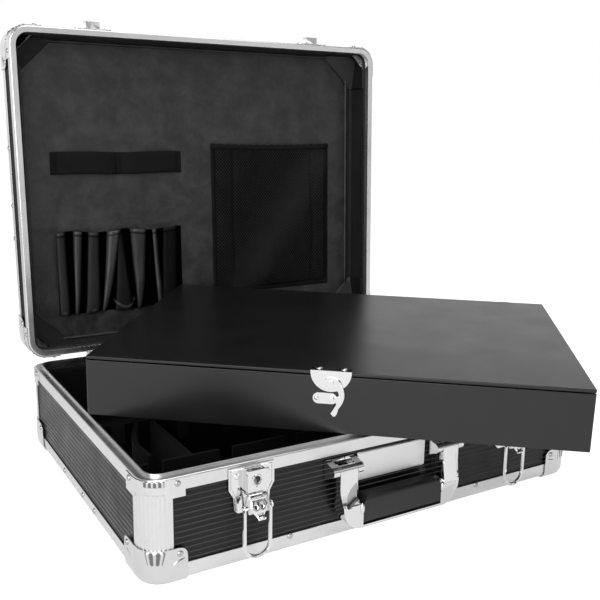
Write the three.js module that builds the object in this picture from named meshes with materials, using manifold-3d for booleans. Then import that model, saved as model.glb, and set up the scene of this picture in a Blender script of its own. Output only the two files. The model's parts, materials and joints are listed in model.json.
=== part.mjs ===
// A barber's case: a hard-sided case in an aluminium frame, open, with an inner box lying across its rims.
// Millimetres, +Z up, +X to the right as the user faces the latches, front at -Y.
// The origin is the middle of the base's underside, on the surface that the corner caps stand on.
import * as THREE from 'three';
import { mergeVertices } from 'three/addons/utils/BufferGeometryUtils.js';
import Module from 'manifold-3d';

const wasm = await Module();
wasm.setup();

// Clearances
const SEAT = 0.3; // between pieces that lie on each other
const RUN = 0.3; // round each pin in its hole
const RIM_GAP = 0.6; // between the two rims of the shut case

// The case over its extrusions, and its two shells over their corner caps
const CASE_W = 460;
const CASE_D = 356;
const BASE_H = 89;
const LID_H = 49;
const CORNER_R = 20; // upright corners, seen from above
const EDGE_R = 7; // edges along the underside and the top
const LID_OPEN = 92; // degrees that the lid stands open in this pose

// Sheet and board
const SHEET = 1.1; // aluminium extrusions
const CAP_T = 1.2; // pressed corner caps and clips
const BOARD = 3.8;
const LINING = 2;
const RIB_PITCH = 4.75; // ribs pressed in the black facing of the side boards
const WIDE_RIB_PITCH = 19; // and of the two large boards
const RIB_W = 1.2;
const RIB_H = 0.5;

// Extrusions
const RIM_FACE = 11; // outer leg of the rim
const RIM_LEG = 8; // its inner leg
const TONGUE_H = 2; // lip round the base's rim, which the lid's rim closes over
const TONGUE_GAP = 0.5;
const EDGE_FACE = 16.5; // upright leg of the lower and upper edges
const EDGE_FLANGE = 16; // their flat leg
const POST_FRONT = 24; // corner post, along the front and back
const POST_SIDE = 22; // and along the sides

// Corner caps and the clips at the rims' corners
const CAP_H = 25;
const CAP_FRONT = 35;
const CAP_SIDE = 43;
const CAP_FLANGE = 18;
const CAP_EAR_R = 7;
const CLIP_REACH = 34;
const CLIP_H = 16;
const CLIP_BAND = 12;
const CLIP_TAB = 17;

// Partitions in the base
const PARTITION_T = 4;
const PARTITION_TOP = BASE_H - 24;
const PARTITION_ROWS = [-90, 12]; // y of the front and middle rows
const NOTCH_FIRST = 43 - CASE_W / 2;
const NOTCH_PITCH = 67;
const NOTCHES = 6;
const NOTCH_W = 13;
const NOTCH_DEPTH = 26;
const BENT = { from: 44 - CASE_W / 2, to: 61 - CASE_W / 2, front: -75, sag: 8 }; // x at its two ends, its front end and its bow

// Back hinges of the lid
const HINGE_X = CASE_W / 2 - 90;
const HINGE_L = 50;
const HINGE_LEAF = 24;
const HINGE_T = 1.2;
const KNUCKLE_R = 2.9;
const PIN_R = 1.3;
const AXIS_OUT = 3.6; // hinge axis behind the case
const STOP_EAR = 9;

// Latches on the front
const LATCH_X = CASE_W / 2 - 90.5;
const PLATE_W = 41;
const PLATE_TOP = BASE_H - 2.5;
const PLATE_SHOULDER = PLATE_TOP - 18;
const PLATE_LOW = PLATE_TOP - 39;
const PLATE_FOOT_W = 31;
const PLATE_T = 1.2;
const LOCK_W = 16;
const LOCK_TOP = PLATE_TOP - 1;
const LOCK_LOW = LOCK_TOP - 18;
const LOCK_OUT = 10.5;
const KEYHOLE_R = 3.1;
const KEYHOLE_UP = 9.8; // its middle over the lock's foot
const LOCK_SLIT = { w: 12, in: 2.6, depth: 2.6 }; // in the lock's top, behind its face
const LEVER_AXIS = { out: 7.3, z: PLATE_TOP - 24.5 };
const LEVER_W = 19;
const LEVER_L = 12.5;
const LEVER_LIP = { w: 7, l: 5 }; // thumb lip below the plate
const LUG_R = 2.6;
const LEVER_PIN_R = 1.2;
const LEVER_TILT = 20; // degrees that the lever stands out from the plate
const BAIL_AXIS = { along: 8, over: 1.3 }; // from the lever's pin, along the lever and out from it
const BAIL_WIRE = 1.7;
const BAIL_L = 43;
const KEEPER_W = 41;
const KEEPER_H = 16;
const KEEPER_HOOK_W = 16;
const KEEPER_OUT = 9.5;

// Handle and name plate
const HANDLE_SPAN = 55; // middle of the case to the middle of an arm
const ARM_W = 17.5;
const ARM_TAPER = 1.5; // how far the arms' outer sides draw in towards the grip
const HANDLE_AXIS = { out: 11, z: BASE_H - 21 };
const HANDLE_LOW = HANDLE_AXIS.z - 52.5; // underside of the grip's bar
const HANDLE_BAR = 2.8;
const HANDLE_DEPTH = 15.5;
const BARREL_R = 4.6;
const AXLE_R = 1.8;
const EAR_T = 6;
const BRACKET = { above: 7, below: 10 }; // over and under the axle
const GRIP_L = 84;
const GRIP_OUT = 12; // middle of the grip, in front of the case
const GRIP_H = 25;
const GRIP_DEPTH = 15;
const GRIP_R = 9;
const NAME_PLATE = { w: 74, h: 26, low: HANDLE_AXIS.z - 18.3, t: 1 };

// Straps and pockets in the lid, placed by their distance from the hinge edge
const STRAP = { left: 44 - CASE_W / 2, right: -28, low: 200, high: 225, bulge: 5.4, t: 1.4, tab: 6 };
const TOOLS = { left: 45 - CASE_W / 2, right: -31, low: 38, high: 134, bulge: 11, t: 1.4, loops: 7 };
const TOOLS_HEM = { left: 3, right: 9 }; // sewn flat beside the first and last loops
const NET = { left: 13, right: CASE_W / 2 - 46, low: 46, high: 235, bulge: 8, t: 1.2 };
const NET_HEM = 12;
const NET_SIDE = 8;
const NET_COLUMNS = 8;
const NET_ROWS = 8;
const NET_STRAND = 2.6;

// The inner box, and where it lies
const BOX_W = 435;
const BOX_D = 303;
const BOX_H = 55;
const BOX_PANEL = 3; // thickness of its lid
const BOX_GROOVE = 0.8;
const BOX_WALL = 6;
const BOX_FLOOR = 5;
const BOX_AT = { x: 38, y: -43, turn: -38.3 }; // its middle and its turn, before it is leant back
const BOX_HINGE_X = 174;
const BOX_HINGE_L = 20;
const BOX_KNUCKLE_R = 1.9;
const BOX_PIN_R = 0.9;
const BOX_LEAF = 14;
const BOX_LEAF_T = 0.9;
const HASP_R = 17.6; // half-round hasp on the box's lid
const HASP_T = 1;
const HASP_TAB = 8;
const HOOK_AXIS_Z = 45.4;
const HOOK_T = 1.4;
const HOOK_DISC_R = 5.6;
const CATCH = { x: -4.6, z: 31.5, w: 21, h: 9.8, pin: 2.2, pinX: 1.2 };
const HOOK_RUN = 0.6; // between the hook's nose and the catch's pin

// Worked out from the above
const RIM_W = 2 * SHEET + BOARD + 2 * SEAT;
const BOARD_OUT = SHEET + SEAT; // outer face of a board, in from the case's face
const BOARD_IN = BOARD_OUT + BOARD;
const LINING_OUT = BOARD_IN + SEAT;
const LINING_IN = LINING_OUT + LINING;
const SHELL_LOW = CAP_T + SEAT; // underside of the edge extrusion over the caps' outer plane
const FLOOR_LOW = SHELL_LOW + SHEET + SEAT;
const LINING_FLOOR = FLOOR_LOW + BOARD + SEAT + LINING; // top of the floor lining
const LID_RIM_Z = BASE_H + RIM_GAP;
const LID_TOP = LID_RIM_Z + LID_H;
const LID_LINING_Z = LID_TOP - LINING_FLOOR;
const AXIS_Y = CASE_D / 2 + AXIS_OUT;
const AXIS_Z = BASE_H + RIM_GAP / 2;
const FRONT = -CASE_D / 2;
const BACK = CASE_D / 2;
const PANEL_FRONT = FRONT + BOARD_OUT - RIB_H;
const BOX_Z = BASE_H + TONGUE_H + SEAT;
const LEVER_LEAN = THREE.MathUtils.degToRad(LEVER_TILT);
const LEVER_WAYS = { along: [-Math.sin(LEVER_LEAN), -Math.cos(LEVER_LEAN)], over: [-Math.cos(LEVER_LEAN), Math.sin(LEVER_LEAN)] };
const BOX_TRAY_H = BOX_H - BOX_PANEL - BOX_GROOVE;

const root = new THREE.Group();
root.name = 'barber_case';

/** Adds one named piece to the case. */
function piece(name, geometry, colour, roughness, metalness) {
  const material = new THREE.MeshStandardMaterial({ color: colour, roughness, metalness });
  const mesh = new THREE.Mesh(geometry, material);
  mesh.name = name;
  root.add(mesh);
  return mesh;
}

const aluminium = (name, geometry) => piece(name, geometry, 0xc9ccd0, 0.32, 0.95);
const chrome = (name, geometry) => piece(name, geometry, 0xd9dbde, 0.1, 1);
const facing = (name, geometry) => piece(name, geometry, 0x1b1c1e, 0.55, 0);
const cloth = (name, geometry) => piece(name, geometry, 0x17181a, 0.95, 0);
const vinyl = (name, geometry) => piece(name, geometry, 0x121315, 0.35, 0);
const leatherette = (name, geometry) => piece(name, geometry, 0x1d1d1f, 0.5, 0);

/** The closed solid of a geometry, ready to be joined or cut. */
function solid(geometry) {
  const bare = new THREE.BufferGeometry();
  bare.setAttribute('position', geometry.getAttribute('position').clone());
  if (geometry.index) bare.setIndex(geometry.index.clone());
  const merged = mergeVertices(bare, 1e-4);
  return new wasm.Manifold(
    new wasm.Mesh({
      numProp: 3,
      vertProperties: new Float32Array(merged.attributes.position.array),
      triVerts: new Uint32Array(merged.index.array),
    }),
  );
}

/** The geometry of a solid. */
function geometryOf(result) {
  const mesh = result.getMesh();
  const geometry = new THREE.BufferGeometry();
  geometry.setAttribute('position', new THREE.BufferAttribute(mesh.vertProperties, 3));
  geometry.setIndex(new THREE.BufferAttribute(mesh.triVerts, 1));
  return geometry;
}

const join = (...parts) => geometryOf(wasm.Manifold.union(parts.map(solid)));
const cut = (body, ...tools) => geometryOf(solid(body).subtract(wasm.Manifold.union(tools.map(solid))));
const common = (a, b) => geometryOf(solid(a).intersect(solid(b)));

/** A shape with straight sides through [a, b] points. */
function outline(points) {
  return new THREE.Shape(points.map(([a, b]) => new THREE.Vector2(a, b)));
}

/** A rectangle between two corners, with its corners rounded. */
function rounded(left, low, right, high, radius) {
  const shape = new THREE.Shape();
  shape.moveTo(left + radius, low);
  shape.lineTo(right - radius, low);
  shape.absarc(right - radius, low + radius, radius, -Math.PI / 2, 0, false);
  shape.lineTo(right, high - radius);
  shape.absarc(right - radius, high - radius, radius, 0, Math.PI / 2, false);
  shape.lineTo(left + radius, high);
  shape.absarc(left + radius, high - radius, radius, Math.PI / 2, Math.PI, false);
  shape.lineTo(left, low + radius);
  shape.absarc(left + radius, low + radius, radius, Math.PI, Math.PI * 1.5, false);
  return shape;
}

function extruded(shape, length, sides) {
  return new THREE.ExtrudeGeometry(shape, { depth: length, bevelEnabled: false, curveSegments: sides });
}

/** An (x, y) shape run from one height to another. */
function alongZ(shape, from, to, sides = 4) {
  return extruded(shape, to - from, sides).translate(0, 0, from);
}

/** An (x, z) shape run from one y to another. */
function alongY(shape, from, to, sides = 4) {
  return extruded(shape, to - from, sides).rotateX(Math.PI / 2).translate(0, to, 0);
}

/** A (y, z) shape run from one x to another. */
function alongX(shape, from, to, sides = 4) {
  const turn = new THREE.Matrix4().makeBasis(
    new THREE.Vector3(0, 1, 0),
    new THREE.Vector3(0, 0, 1),
    new THREE.Vector3(1, 0, 0),
  );
  return extruded(shape, to - from, sides).applyMatrix4(turn).translate(from, 0, 0);
}

function block(x0, y0, z0, x1, y1, z1) {
  const box = new THREE.BoxGeometry(x1 - x0, y1 - y0, z1 - z0);
  return box.translate((x0 + x1) / 2, (y0 + y1) / 2, (z0 + z1) / 2);
}

/** A round bar along X. */
function barX(radius, x0, x1, y, z, sides = 16) {
  const bar = new THREE.CylinderGeometry(radius, radius, x1 - x0, sides);
  return bar.rotateZ(Math.PI / 2).translate((x0 + x1) / 2, y, z);
}

/** A round bar along Y. */
function barY(radius, y0, y1, x, z, sides = 16) {
  return new THREE.CylinderGeometry(radius, radius, y1 - y0, sides).translate(x, (y0 + y1) / 2, z);
}

/**
 * Stations round a rounded rectangle: a point on its outline and the direction inwards.
 * corner counts from the back right, against the clock; before and after lengthen one corner's ends.
 */
function cornerStations(corner, steps, before = null, after = null) {
  const start = (corner * Math.PI) / 2;
  const middle = [
    Math.sign(Math.cos(start + Math.PI / 4)) * (CASE_W / 2 - CORNER_R),
    Math.sign(Math.sin(start + Math.PI / 4)) * (CASE_D / 2 - CORNER_R),
  ];
  const stations = [];
  for (let i = 0; i <= steps; i += 1) {
    const angle = start + ((Math.PI / 2) * i) / steps;
    const out = [Math.cos(angle), Math.sin(angle)];
    stations.push({ at: middle.map((m, k) => m + CORNER_R * out[k]), inward: out.map((o) => -o) });
  }
  const ahead = ({ at, inward }, way) => ({
    at: [at[0] + inward[1] * way, at[1] - inward[0] * way],
    inward,
  });
  if (before !== null) stations.unshift(ahead(stations[0], -before));
  if (after !== null) stations.push(ahead(stations.at(-1), after));
  return stations;
}

/** A closed solid that carries an (inset, height) profile past each station, as a ring or with two ends. */
function swept(profile, stations, isRing) {
  const turned = THREE.ShapeUtils.isClockWise(profile.map(([a, b]) => new THREE.Vector2(a, b)));
  const section = turned ? [...profile].reverse() : profile;
  const positions = stations.flatMap(({ at, inward }) =>
    section.flatMap(([inset, height]) => [at[0] + inward[0] * inset, at[1] + inward[1] * inset, height]),
  );
  const across = section.length;
  const index = [];
  const spans = isRing ? stations.length : stations.length - 1;
  for (let s = 0; s < spans; s += 1) {
    const here = s * across;
    const next = ((s + 1) % stations.length) * across;
    for (let p = 0; p < across; p += 1) {
      const q = (p + 1) % across;
      index.push(here + p, here + q, next + p, here + q, next + q, next + p);
    }
  }
  if (!isRing) {
    const last = (stations.length - 1) * across;
    const faces = THREE.ShapeUtils.triangulateShape(section.map(([a, b]) => new THREE.Vector2(a, b)), []);
    for (const [a, b, c] of faces) index.push(c, b, a, last + a, last + b, last + c);
  }
  const geometry = new THREE.BufferGeometry();
  geometry.setAttribute('position', new THREE.Float32BufferAttribute(positions, 3));
  geometry.setIndex(index);
  return geometry;
}

const STEPS = 5;
const ring = (profile) =>
  swept(profile, [0, 1, 2, 3].flatMap((corner) => cornerStations(corner, STEPS)), true);

/** The same profile at one corner, reaching along the front or back and along the side. */
function atCorner(corner, profile, alongFront, alongSide) {
  const even = corner % 2 === 0;
  const [before, after] = even ? [alongSide, alongFront] : [alongFront, alongSide];
  return swept(profile, cornerStations(corner, STEPS, before - CORNER_R, after - CORNER_R), false);
}

/** Points on a quarter circle, from its first angle to its last, in degrees. */
function arc(a, b, radius, from, to, steps = 4) {
  return Array.from({ length: steps + 1 }, (_, i) => {
    const angle = THREE.MathUtils.degToRad(from + ((to - from) * i) / steps);
    return [a + radius * Math.cos(angle), b + radius * Math.sin(angle)];
  });
}

/** The rounded rectangle of the case, drawn in by an inset. */
function plan(inset) {
  const x = CASE_W / 2 - inset;
  const y = CASE_D / 2 - inset;
  return rounded(-x, -y, x, y, CORNER_R - inset);
}

// Pieces that the two shells share are made rim up, standing on their caps, with the rim at a height.

/** Channel that grips the tops of the boards, with a clip pressed round each corner. */
function rimFrame(height, tongue) {
  const inner = RIM_W + (tongue ? TONGUE_GAP + SHEET : 0);
  const lip = tongue
    ? [[RIM_W + TONGUE_GAP, height], [RIM_W + TONGUE_GAP, height + TONGUE_H], [inner, height + TONGUE_H]]
    : [[RIM_W, height]];
  const channel = [
    [0, height - RIM_FACE],
    [0, height - 1],
    [0.3, height - 0.3],
    [1, height],
    ...lip,
    [inner, height - SHEET],
    ...(tongue ? [[RIM_W, height - SHEET]] : []),
    [RIM_W, height - RIM_LEG],
    [RIM_W - SHEET, height - RIM_LEG],
    [RIM_W - SHEET, height - SHEET],
    [SHEET, height - SHEET],
    [SHEET, height - RIM_FACE],
  ];
  const face = height - RIM_FACE;
  const clip = [
    [-CAP_T, height - 1],
    [-CAP_T, height - CLIP_H],
    [-SEAT, height - CLIP_H],
    [-SEAT, face + SEAT],
    [SHEET / 2, face + SEAT],
    [SHEET / 2, height - 1],
  ];
  const clips = [0, 1, 2, 3].map((corner) => {
    const band = atCorner(corner, clip, CLIP_REACH, CLIP_REACH);
    const sx = corner === 0 || corner === 3 ? 1 : -1;
    const sy = corner < 2 ? 1 : -1;
    const far = CLIP_REACH - CLIP_TAB;
    const x = [sx * (CASE_W / 2 - far), sx * (CASE_W / 2 + 5)].sort((a, b) => a - b);
    const y = [sy * (CASE_D / 2 - far), sy * (CASE_D / 2 + 5)].sort((a, b) => a - b);
    return cut(band, block(x[0], y[0], height - CLIP_H - 1, x[1], y[1], height - CLIP_BAND));
  });
  return join(ring(channel), ...clips);
}

/** Rounded edge extrusion with its four corner posts, up to just under the rim. */
function edgeFrame(height) {
  const z = SHELL_LOW + EDGE_R;
  const edge = [
    [0, EDGE_FACE],
    ...arc(EDGE_R, z, EDGE_R, 180, 270),
    [EDGE_FLANGE, SHELL_LOW],
    [EDGE_FLANGE, SHELL_LOW + SHEET],
    ...arc(EDGE_R, z, EDGE_R - SHEET, 270, 180),
    [SHEET, EDGE_FACE],
  ];
  const post = [
    [0, z],
    [0, height - RIM_FACE - SEAT],
    [SHEET, height - RIM_FACE - SEAT],
    [SHEET, z],
  ];
  return join(ring(edge), ...[0, 1, 2, 3].map((corner) => atCorner(corner, post, POST_FRONT, POST_SIDE)));
}

/** Pressed cap round one corner of the underside, with an ear along each upright face. */
function cornerCap(corner) {
  const z = SHELL_LOW + EDGE_R;
  const skin = [
    [-SEAT - CAP_T, CAP_H],
    ...arc(EDGE_R, z, EDGE_R + SEAT + CAP_T, 180, 270),
    [CAP_FLANGE, 0],
    [CAP_FLANGE, CAP_T],
    ...arc(EDGE_R, z, EDGE_R + SEAT, 270, 180),
    [-SEAT, CAP_H],
  ];
  const cap = atCorner(corner, skin, CAP_FRONT, CAP_SIDE);
  const sx = corner === 0 || corner === 3 ? 1 : -1;
  const sy = corner < 2 ? 1 : -1;
  const ear = (end, sign) => {
    const corners = outline([
      [sign * (end + 1), CAP_H + 1],
      [sign * (end + 1), CAP_H - CAP_EAR_R],
      ...arc(0, 0, CAP_EAR_R, 0, 90).map(([a, b]) => [
        sign * (end - CAP_EAR_R + a),
        CAP_H - CAP_EAR_R + b,
      ]),
      [sign * (end - CAP_EAR_R), CAP_H + 1],
    ]);
    return corners;
  };
  const frontEar = ear(CAP_FRONT - CASE_W / 2, -sx);
  const sideEar = ear(CAP_SIDE - CASE_D / 2, -sy);
  const y = [sy * (CASE_D / 2 - 5), sy * (CASE_D / 2 + 5)].sort((a, b) => a - b);
  const x = [sx * (CASE_W / 2 - 5), sx * (CASE_W / 2 + 5)].sort((a, b) => a - b);
  return cut(cap, alongY(frontEar, y[0], y[1]), alongX(sideEar, x[0], x[1]));
}

/** Section through an upright board, with ribs between two heights: [inset, height] points. */
function boardSection(low, high, first, last) {
  const points = [[BOARD_IN, low], [BOARD_IN, high], [BOARD_OUT, high]];
  const count = Math.floor((last - first) / RIB_PITCH);
  const start = (first + last - count * RIB_PITCH) / 2;
  for (let i = count; i >= 0; i -= 1) {
    const z = start + i * RIB_PITCH;
    points.push([BOARD_OUT, z + RIB_W / 2], [BOARD_OUT - RIB_H, z + RIB_W / 4]);
    points.push([BOARD_OUT - RIB_H, z - RIB_W / 4], [BOARD_OUT, z - RIB_W / 2]);
  }
  points.push([BOARD_OUT, low]);
  return points;
}

/** The four upright boards of a shell, ribbed between the corner posts. */
function sideBoards(height) {
  const low = SHELL_LOW + EDGE_R;
  const high = height - SHEET - SEAT;
  const ribs = boardSection(low, high, EDGE_FACE + 2, height - RIM_FACE - 2);
  const plain = [[BOARD_OUT, low], [BOARD_IN, low], [BOARD_IN, high], [BOARD_OUT, high]];
  const board = (run, sign, depth, width, post) => {
    const place = (section) => outline(section.map(([inset, z]) => [sign * (depth / 2 - inset), z]));
    const end = width / 2 - CORNER_R;
    const open = width / 2 - post - RIB_W;
    return join(run(place(plain), -end, end), run(place(ribs), -open, open));
  };
  return {
    front: board(alongX, -1, CASE_D, CASE_W, POST_FRONT),
    back: board(alongX, 1, CASE_D, CASE_W, POST_FRONT),
    left: board(alongY, -1, CASE_W, CASE_D, POST_SIDE),
    right: board(alongY, 1, CASE_W, CASE_D, POST_SIDE),
  };
}

/** The large board of a shell: its outer face is grooved from front to back, and rebated under the edge's flange. */
function floorBoard() {
  const low = FLOOR_LOW + RIB_H;
  const slab = alongZ(plan(EDGE_R), low, FLOOR_LOW + BOARD, STEPS);
  const x = CASE_W / 2 - EDGE_FLANGE - SEAT;
  const y = CASE_D / 2 - EDGE_FLANGE - SEAT;
  const count = 2 * Math.floor((y - RIB_W) / WIDE_RIB_PITCH - 0.5) + 1; // odd, so that the middle is a plain band
  const section = [[y, FLOOR_LOW], [y, low + 1], [-y, low + 1], [-y, FLOOR_LOW]];
  for (let i = 0; i <= count; i += 1) {
    const at = (i - count / 2) * WIDE_RIB_PITCH;
    section.push([at - RIB_W / 2, FLOOR_LOW], [at - RIB_W / 4, low]);
    section.push([at + RIB_W / 4, low], [at + RIB_W / 2, FLOOR_LOW]);
  }
  return join(slab, alongX(outline(section), -x, x));
}

/** Cloth-covered tray that lines a shell. */
function lining(height) {
  const low = LINING_FLOOR - LINING;
  const outer = alongZ(plan(LINING_OUT), low, height - RIM_LEG - SEAT, STEPS);
  return cut(outer, alongZ(plan(LINING_IN), LINING_FLOOR, height, STEPS));
}

/** Turns what was made rim up into the shut lid. */
const toLid = (geometry) => geometry.rotateX(Math.PI).translate(0, 0, LID_TOP);

function makeBase() {
  aluminium('base_rim_frame', rimFrame(BASE_H, true));
  aluminium('base_edge_frame', edgeFrame(BASE_H));
  for (const [side, board] of Object.entries(sideBoards(BASE_H))) facing(`base_${side}_panel`, board);
  facing('base_floor_panel', floorBoard());
  cloth('base_lining', lining(BASE_H));
  chrome('base_cap_front_left', cornerCap(2));
  chrome('base_cap_front_right', cornerCap(3));
  chrome('base_cap_back_left', cornerCap(1));
  chrome('base_cap_back_right', cornerCap(0));
}

/** A partition across the base, notched at each bay for a cord or a neck. */
function rowPartition(y) {
  const end = CASE_W / 2 - LINING_IN - SEAT;
  const low = LINING_FLOOR + SEAT;
  const board = block(-end, y - PARTITION_T / 2, low, end, y + PARTITION_T / 2, PARTITION_TOP);
  const notches = Array.from({ length: NOTCHES }, (_, i) => {
    const x = NOTCH_FIRST + i * NOTCH_PITCH;
    const foot = arc(x, PARTITION_TOP - NOTCH_DEPTH + NOTCH_W / 2, NOTCH_W / 2, 180, 360, 6);
    const top = PARTITION_TOP + 1;
    const shape = outline([[x - NOTCH_W / 2, top], ...foot, [x + NOTCH_W / 2, top]]);
    return alongY(shape, y - PARTITION_T, y + PARTITION_T);
  });
  return cut(board, ...notches);
}

/** A partition from front to back between the two rows. */
function crossPartition(x) {
  const [front, middle] = PARTITION_ROWS;
  const reach = PARTITION_T / 2 + SEAT;
  const low = LINING_FLOOR + SEAT;
  return block(x - PARTITION_T / 2, front + reach, low, x + PARTITION_T / 2, middle - reach, PARTITION_TOP);
}

/** The partition in the left bay, bent to follow a rounded tool. */
function bentPartition() {
  const { from: x0, to: x1, front: y0, sag } = BENT;
  const y1 = PARTITION_ROWS[1] - PARTITION_T / 2 - SEAT;
  const side = (offset) =>
    Array.from({ length: 9 }, (_, i) => {
      const t = i / 8;
      return [x0 + (x1 - x0) * t - sag * Math.sin(Math.PI * t) + offset, y0 + (y1 - y0) * t];
    });
  const shape = outline([...side(PARTITION_T / 2), ...side(-PARTITION_T / 2).reverse()]);
  return alongZ(shape, LINING_FLOOR + SEAT, PARTITION_TOP);
}

function makePartitions() {
  const [front, middle] = PARTITION_ROWS;
  const between = NOTCH_FIRST + NOTCH_PITCH / 2;
  cloth('partition_front_row', rowPartition(front));
  cloth('partition_middle_row', rowPartition(middle));
  cloth('partition_left_bay', crossPartition(between));
  cloth('partition_centre_bay', crossPartition(between + 2 * NOTCH_PITCH));
  cloth('partition_right_bay', crossPartition(between + 4 * NOTCH_PITCH));
  cloth('partition_bent', bentPartition());
}

/** One leaf of a back hinge in the shut case: the base's has the pin, two knuckles and the stop ears. */
function hingeLeaf(x, below) {
  const end = HINGE_L / 2;
  const inner = HINGE_L / 4;
  const sign = below ? -1 : 1;
  const y0 = BACK + SEAT;
  const y1 = y0 + HINGE_T;
  const clear = KNUCKLE_R + RUN;
  const plate = (x0, x1, near, far) => {
    const z = [AXIS_Z + sign * near, AXIS_Z + sign * far].sort((a, b) => a - b);
    return block(x0, y0, z[0], x1, y1, z[1]);
  };
  const leaf = plate(x - end, x + end, clear, HINGE_LEAF + clear);
  if (!below) {
    const knuckle = barX(KNUCKLE_R, x - inner, x + inner, AXIS_Y, AXIS_Z);
    const bore = barX(PIN_R + RUN, x - end, x + end, AXIS_Y, AXIS_Z);
    return cut(join(leaf, plate(x - inner, x + inner, 0, clear + 1), knuckle), bore);
  }
  const ear = outline([
    [BACK + SEAT + 0.5, AXIS_Z - KNUCKLE_R * 3],
    [AXIS_Y + STOP_EAR, AXIS_Z - 1],
    [AXIS_Y + STOP_EAR, AXIS_Z + 1.4],
    [AXIS_Y, AXIS_Z + 1.7],
  ]);
  const knuckles = [-1, 1].flatMap((side) => {
    const ends = [x + side * (inner + RUN), x + side * end].sort((a, b) => a - b);
    const last = side > 0 ? ends[1] : ends[0];
    const tab = [last, last - side * HINGE_T].sort((a, b) => a - b);
    return [
      barX(KNUCKLE_R, ends[0], ends[1], AXIS_Y, AXIS_Z),
      plate(ends[0], ends[1], 0, clear + 1),
      alongX(ear, tab[0], tab[1]),
    ];
  });
  return join(leaf, ...knuckles, barX(PIN_R, x - end, x + end, AXIS_Y, AXIS_Z));
}

/** Latch plate with its raised lock body and the two lugs that carry the lever. */
function latchPlate(x) {
  const back = FRONT - SEAT;
  const face = back - PLATE_T;
  const half = PLATE_W / 2;
  const foot = PLATE_FOOT_W / 2;
  const front = outline([
    [x - half, PLATE_TOP],
    [x - half, PLATE_SHOULDER],
    [x - foot - 1, PLATE_SHOULDER - 7],
    [x - foot, PLATE_LOW + 3],
    [x - foot + 3, PLATE_LOW],
    [x + foot - 3, PLATE_LOW],
    [x + foot, PLATE_LOW + 3],
    [x + foot + 1, PLATE_SHOULDER - 7],
    [x + half, PLATE_SHOULDER],
    [x + half, PLATE_TOP],
  ]);
  const out = FRONT - LOCK_OUT;
  const lock = LOCK_W / 2;
  const body = block(x - lock, out, LOCK_LOW, x + lock, back, LOCK_TOP);
  const wall = PLATE_T;
  const room = block(x - lock + wall, out + wall, LOCK_LOW + wall, x + lock - wall, face, LOCK_TOP - wall);
  const near = out + LOCK_SLIT.in;
  const slit = block(x - LOCK_SLIT.w / 2, near, LOCK_TOP - 2 * wall, x + LOCK_SLIT.w / 2, near + LOCK_SLIT.depth, LOCK_TOP + 1);
  const keyhole = join(
    barY(KEYHOLE_R, out - 1, out + PLATE_T + 1, x, LOCK_LOW + KEYHOLE_UP),
    block(x - 0.7, out - 1, LOCK_LOW + KEYHOLE_UP - 5.5, x + 0.7, out + PLATE_T + 1, LOCK_LOW + KEYHOLE_UP),
  );
  const { out: reach, z } = LEVER_AXIS;
  const lug = new THREE.Shape();
  lug.moveTo(back, z + LUG_R);
  lug.lineTo(FRONT - reach, z + LUG_R);
  lug.absarc(FRONT - reach, z, LUG_R, Math.PI / 2, Math.PI * 1.5, false);
  lug.lineTo(back, z - LUG_R);
  const lugs = [-1, 1].map((side) => {
    const ends = [x + side * 6.4, x + side * 8].sort((a, b) => a - b);
    return cut(alongX(lug, ends[0], ends[1]), barX(LEVER_PIN_R + RUN, ends[0] - 1, ends[1] + 1, FRONT - reach, z));
  });
  return cut(join(alongY(front, face, back), body, ...lugs), room, slit, keyhole);
}

/** A point of the leaning lever in (y, z): so far along it from its pin, and so far out from it. */
function onLever(length, rise) {
  const { along, over } = LEVER_WAYS;
  return [-LEVER_AXIS.out + FRONT, LEVER_AXIS.z].map((c, k) => c + along[k] * length + over[k] * rise);
}

/** Latch lever: a folded plate between two cheeks, turning on its pin in the lugs. */
function latchLever(x) {
  const { out, z } = LEVER_AXIS;
  const half = LEVER_W / 2;
  const top = LUG_R + 2 * SEAT + PLATE_T;
  const skin = outline([[-1.5, top], [LEVER_L, top], [LEVER_L, top - PLATE_T], [-1.5, top - PLATE_T]].map((p) => onLever(...p)));
  const curl = LEVER_L + LEVER_LIP.l;
  const lip = outline(
    [[LEVER_L - 1, top], [curl - 3, top], [curl, top + 2.4], [curl + 1, top + 1.4], [curl - 2.6, top - PLATE_T], [LEVER_L - 1, top - PLATE_T]].map(
      (p) => onLever(...p),
    ),
  );
  const bail = onLever(BAIL_AXIS.along, BAIL_AXIS.over);
  const cheek = outline([
    onLever(-1.5, top),
    onLever(-2.2, -1.2),
    onLever(1, -2.6),
    onLever(9.5, -2.6),
    onLever(11.4, -0.6),
    onLever(LEVER_L, top - PLATE_T / 2),
    onLever(LEVER_L - 0.6, top),
  ]);
  const cheeks = [-1, 1].map((side) => {
    const ends = [x + side * half, x + side * (half - PLATE_T)].sort((a, b) => a - b);
    return cut(alongX(cheek, ends[0], ends[1]), barX(BAIL_WIRE + RUN, ends[0] - 1, ends[1] + 1, ...bail));
  });
  const pin = barX(LEVER_PIN_R, x - half + 0.2, x + half - 0.2, FRONT - out, z);
  const tongue = alongX(lip, x - LEVER_LIP.w / 2, x + LEVER_LIP.w / 2);
  return join(alongX(skin, x - half, x + half), tongue, ...cheeks, pin);
}

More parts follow.
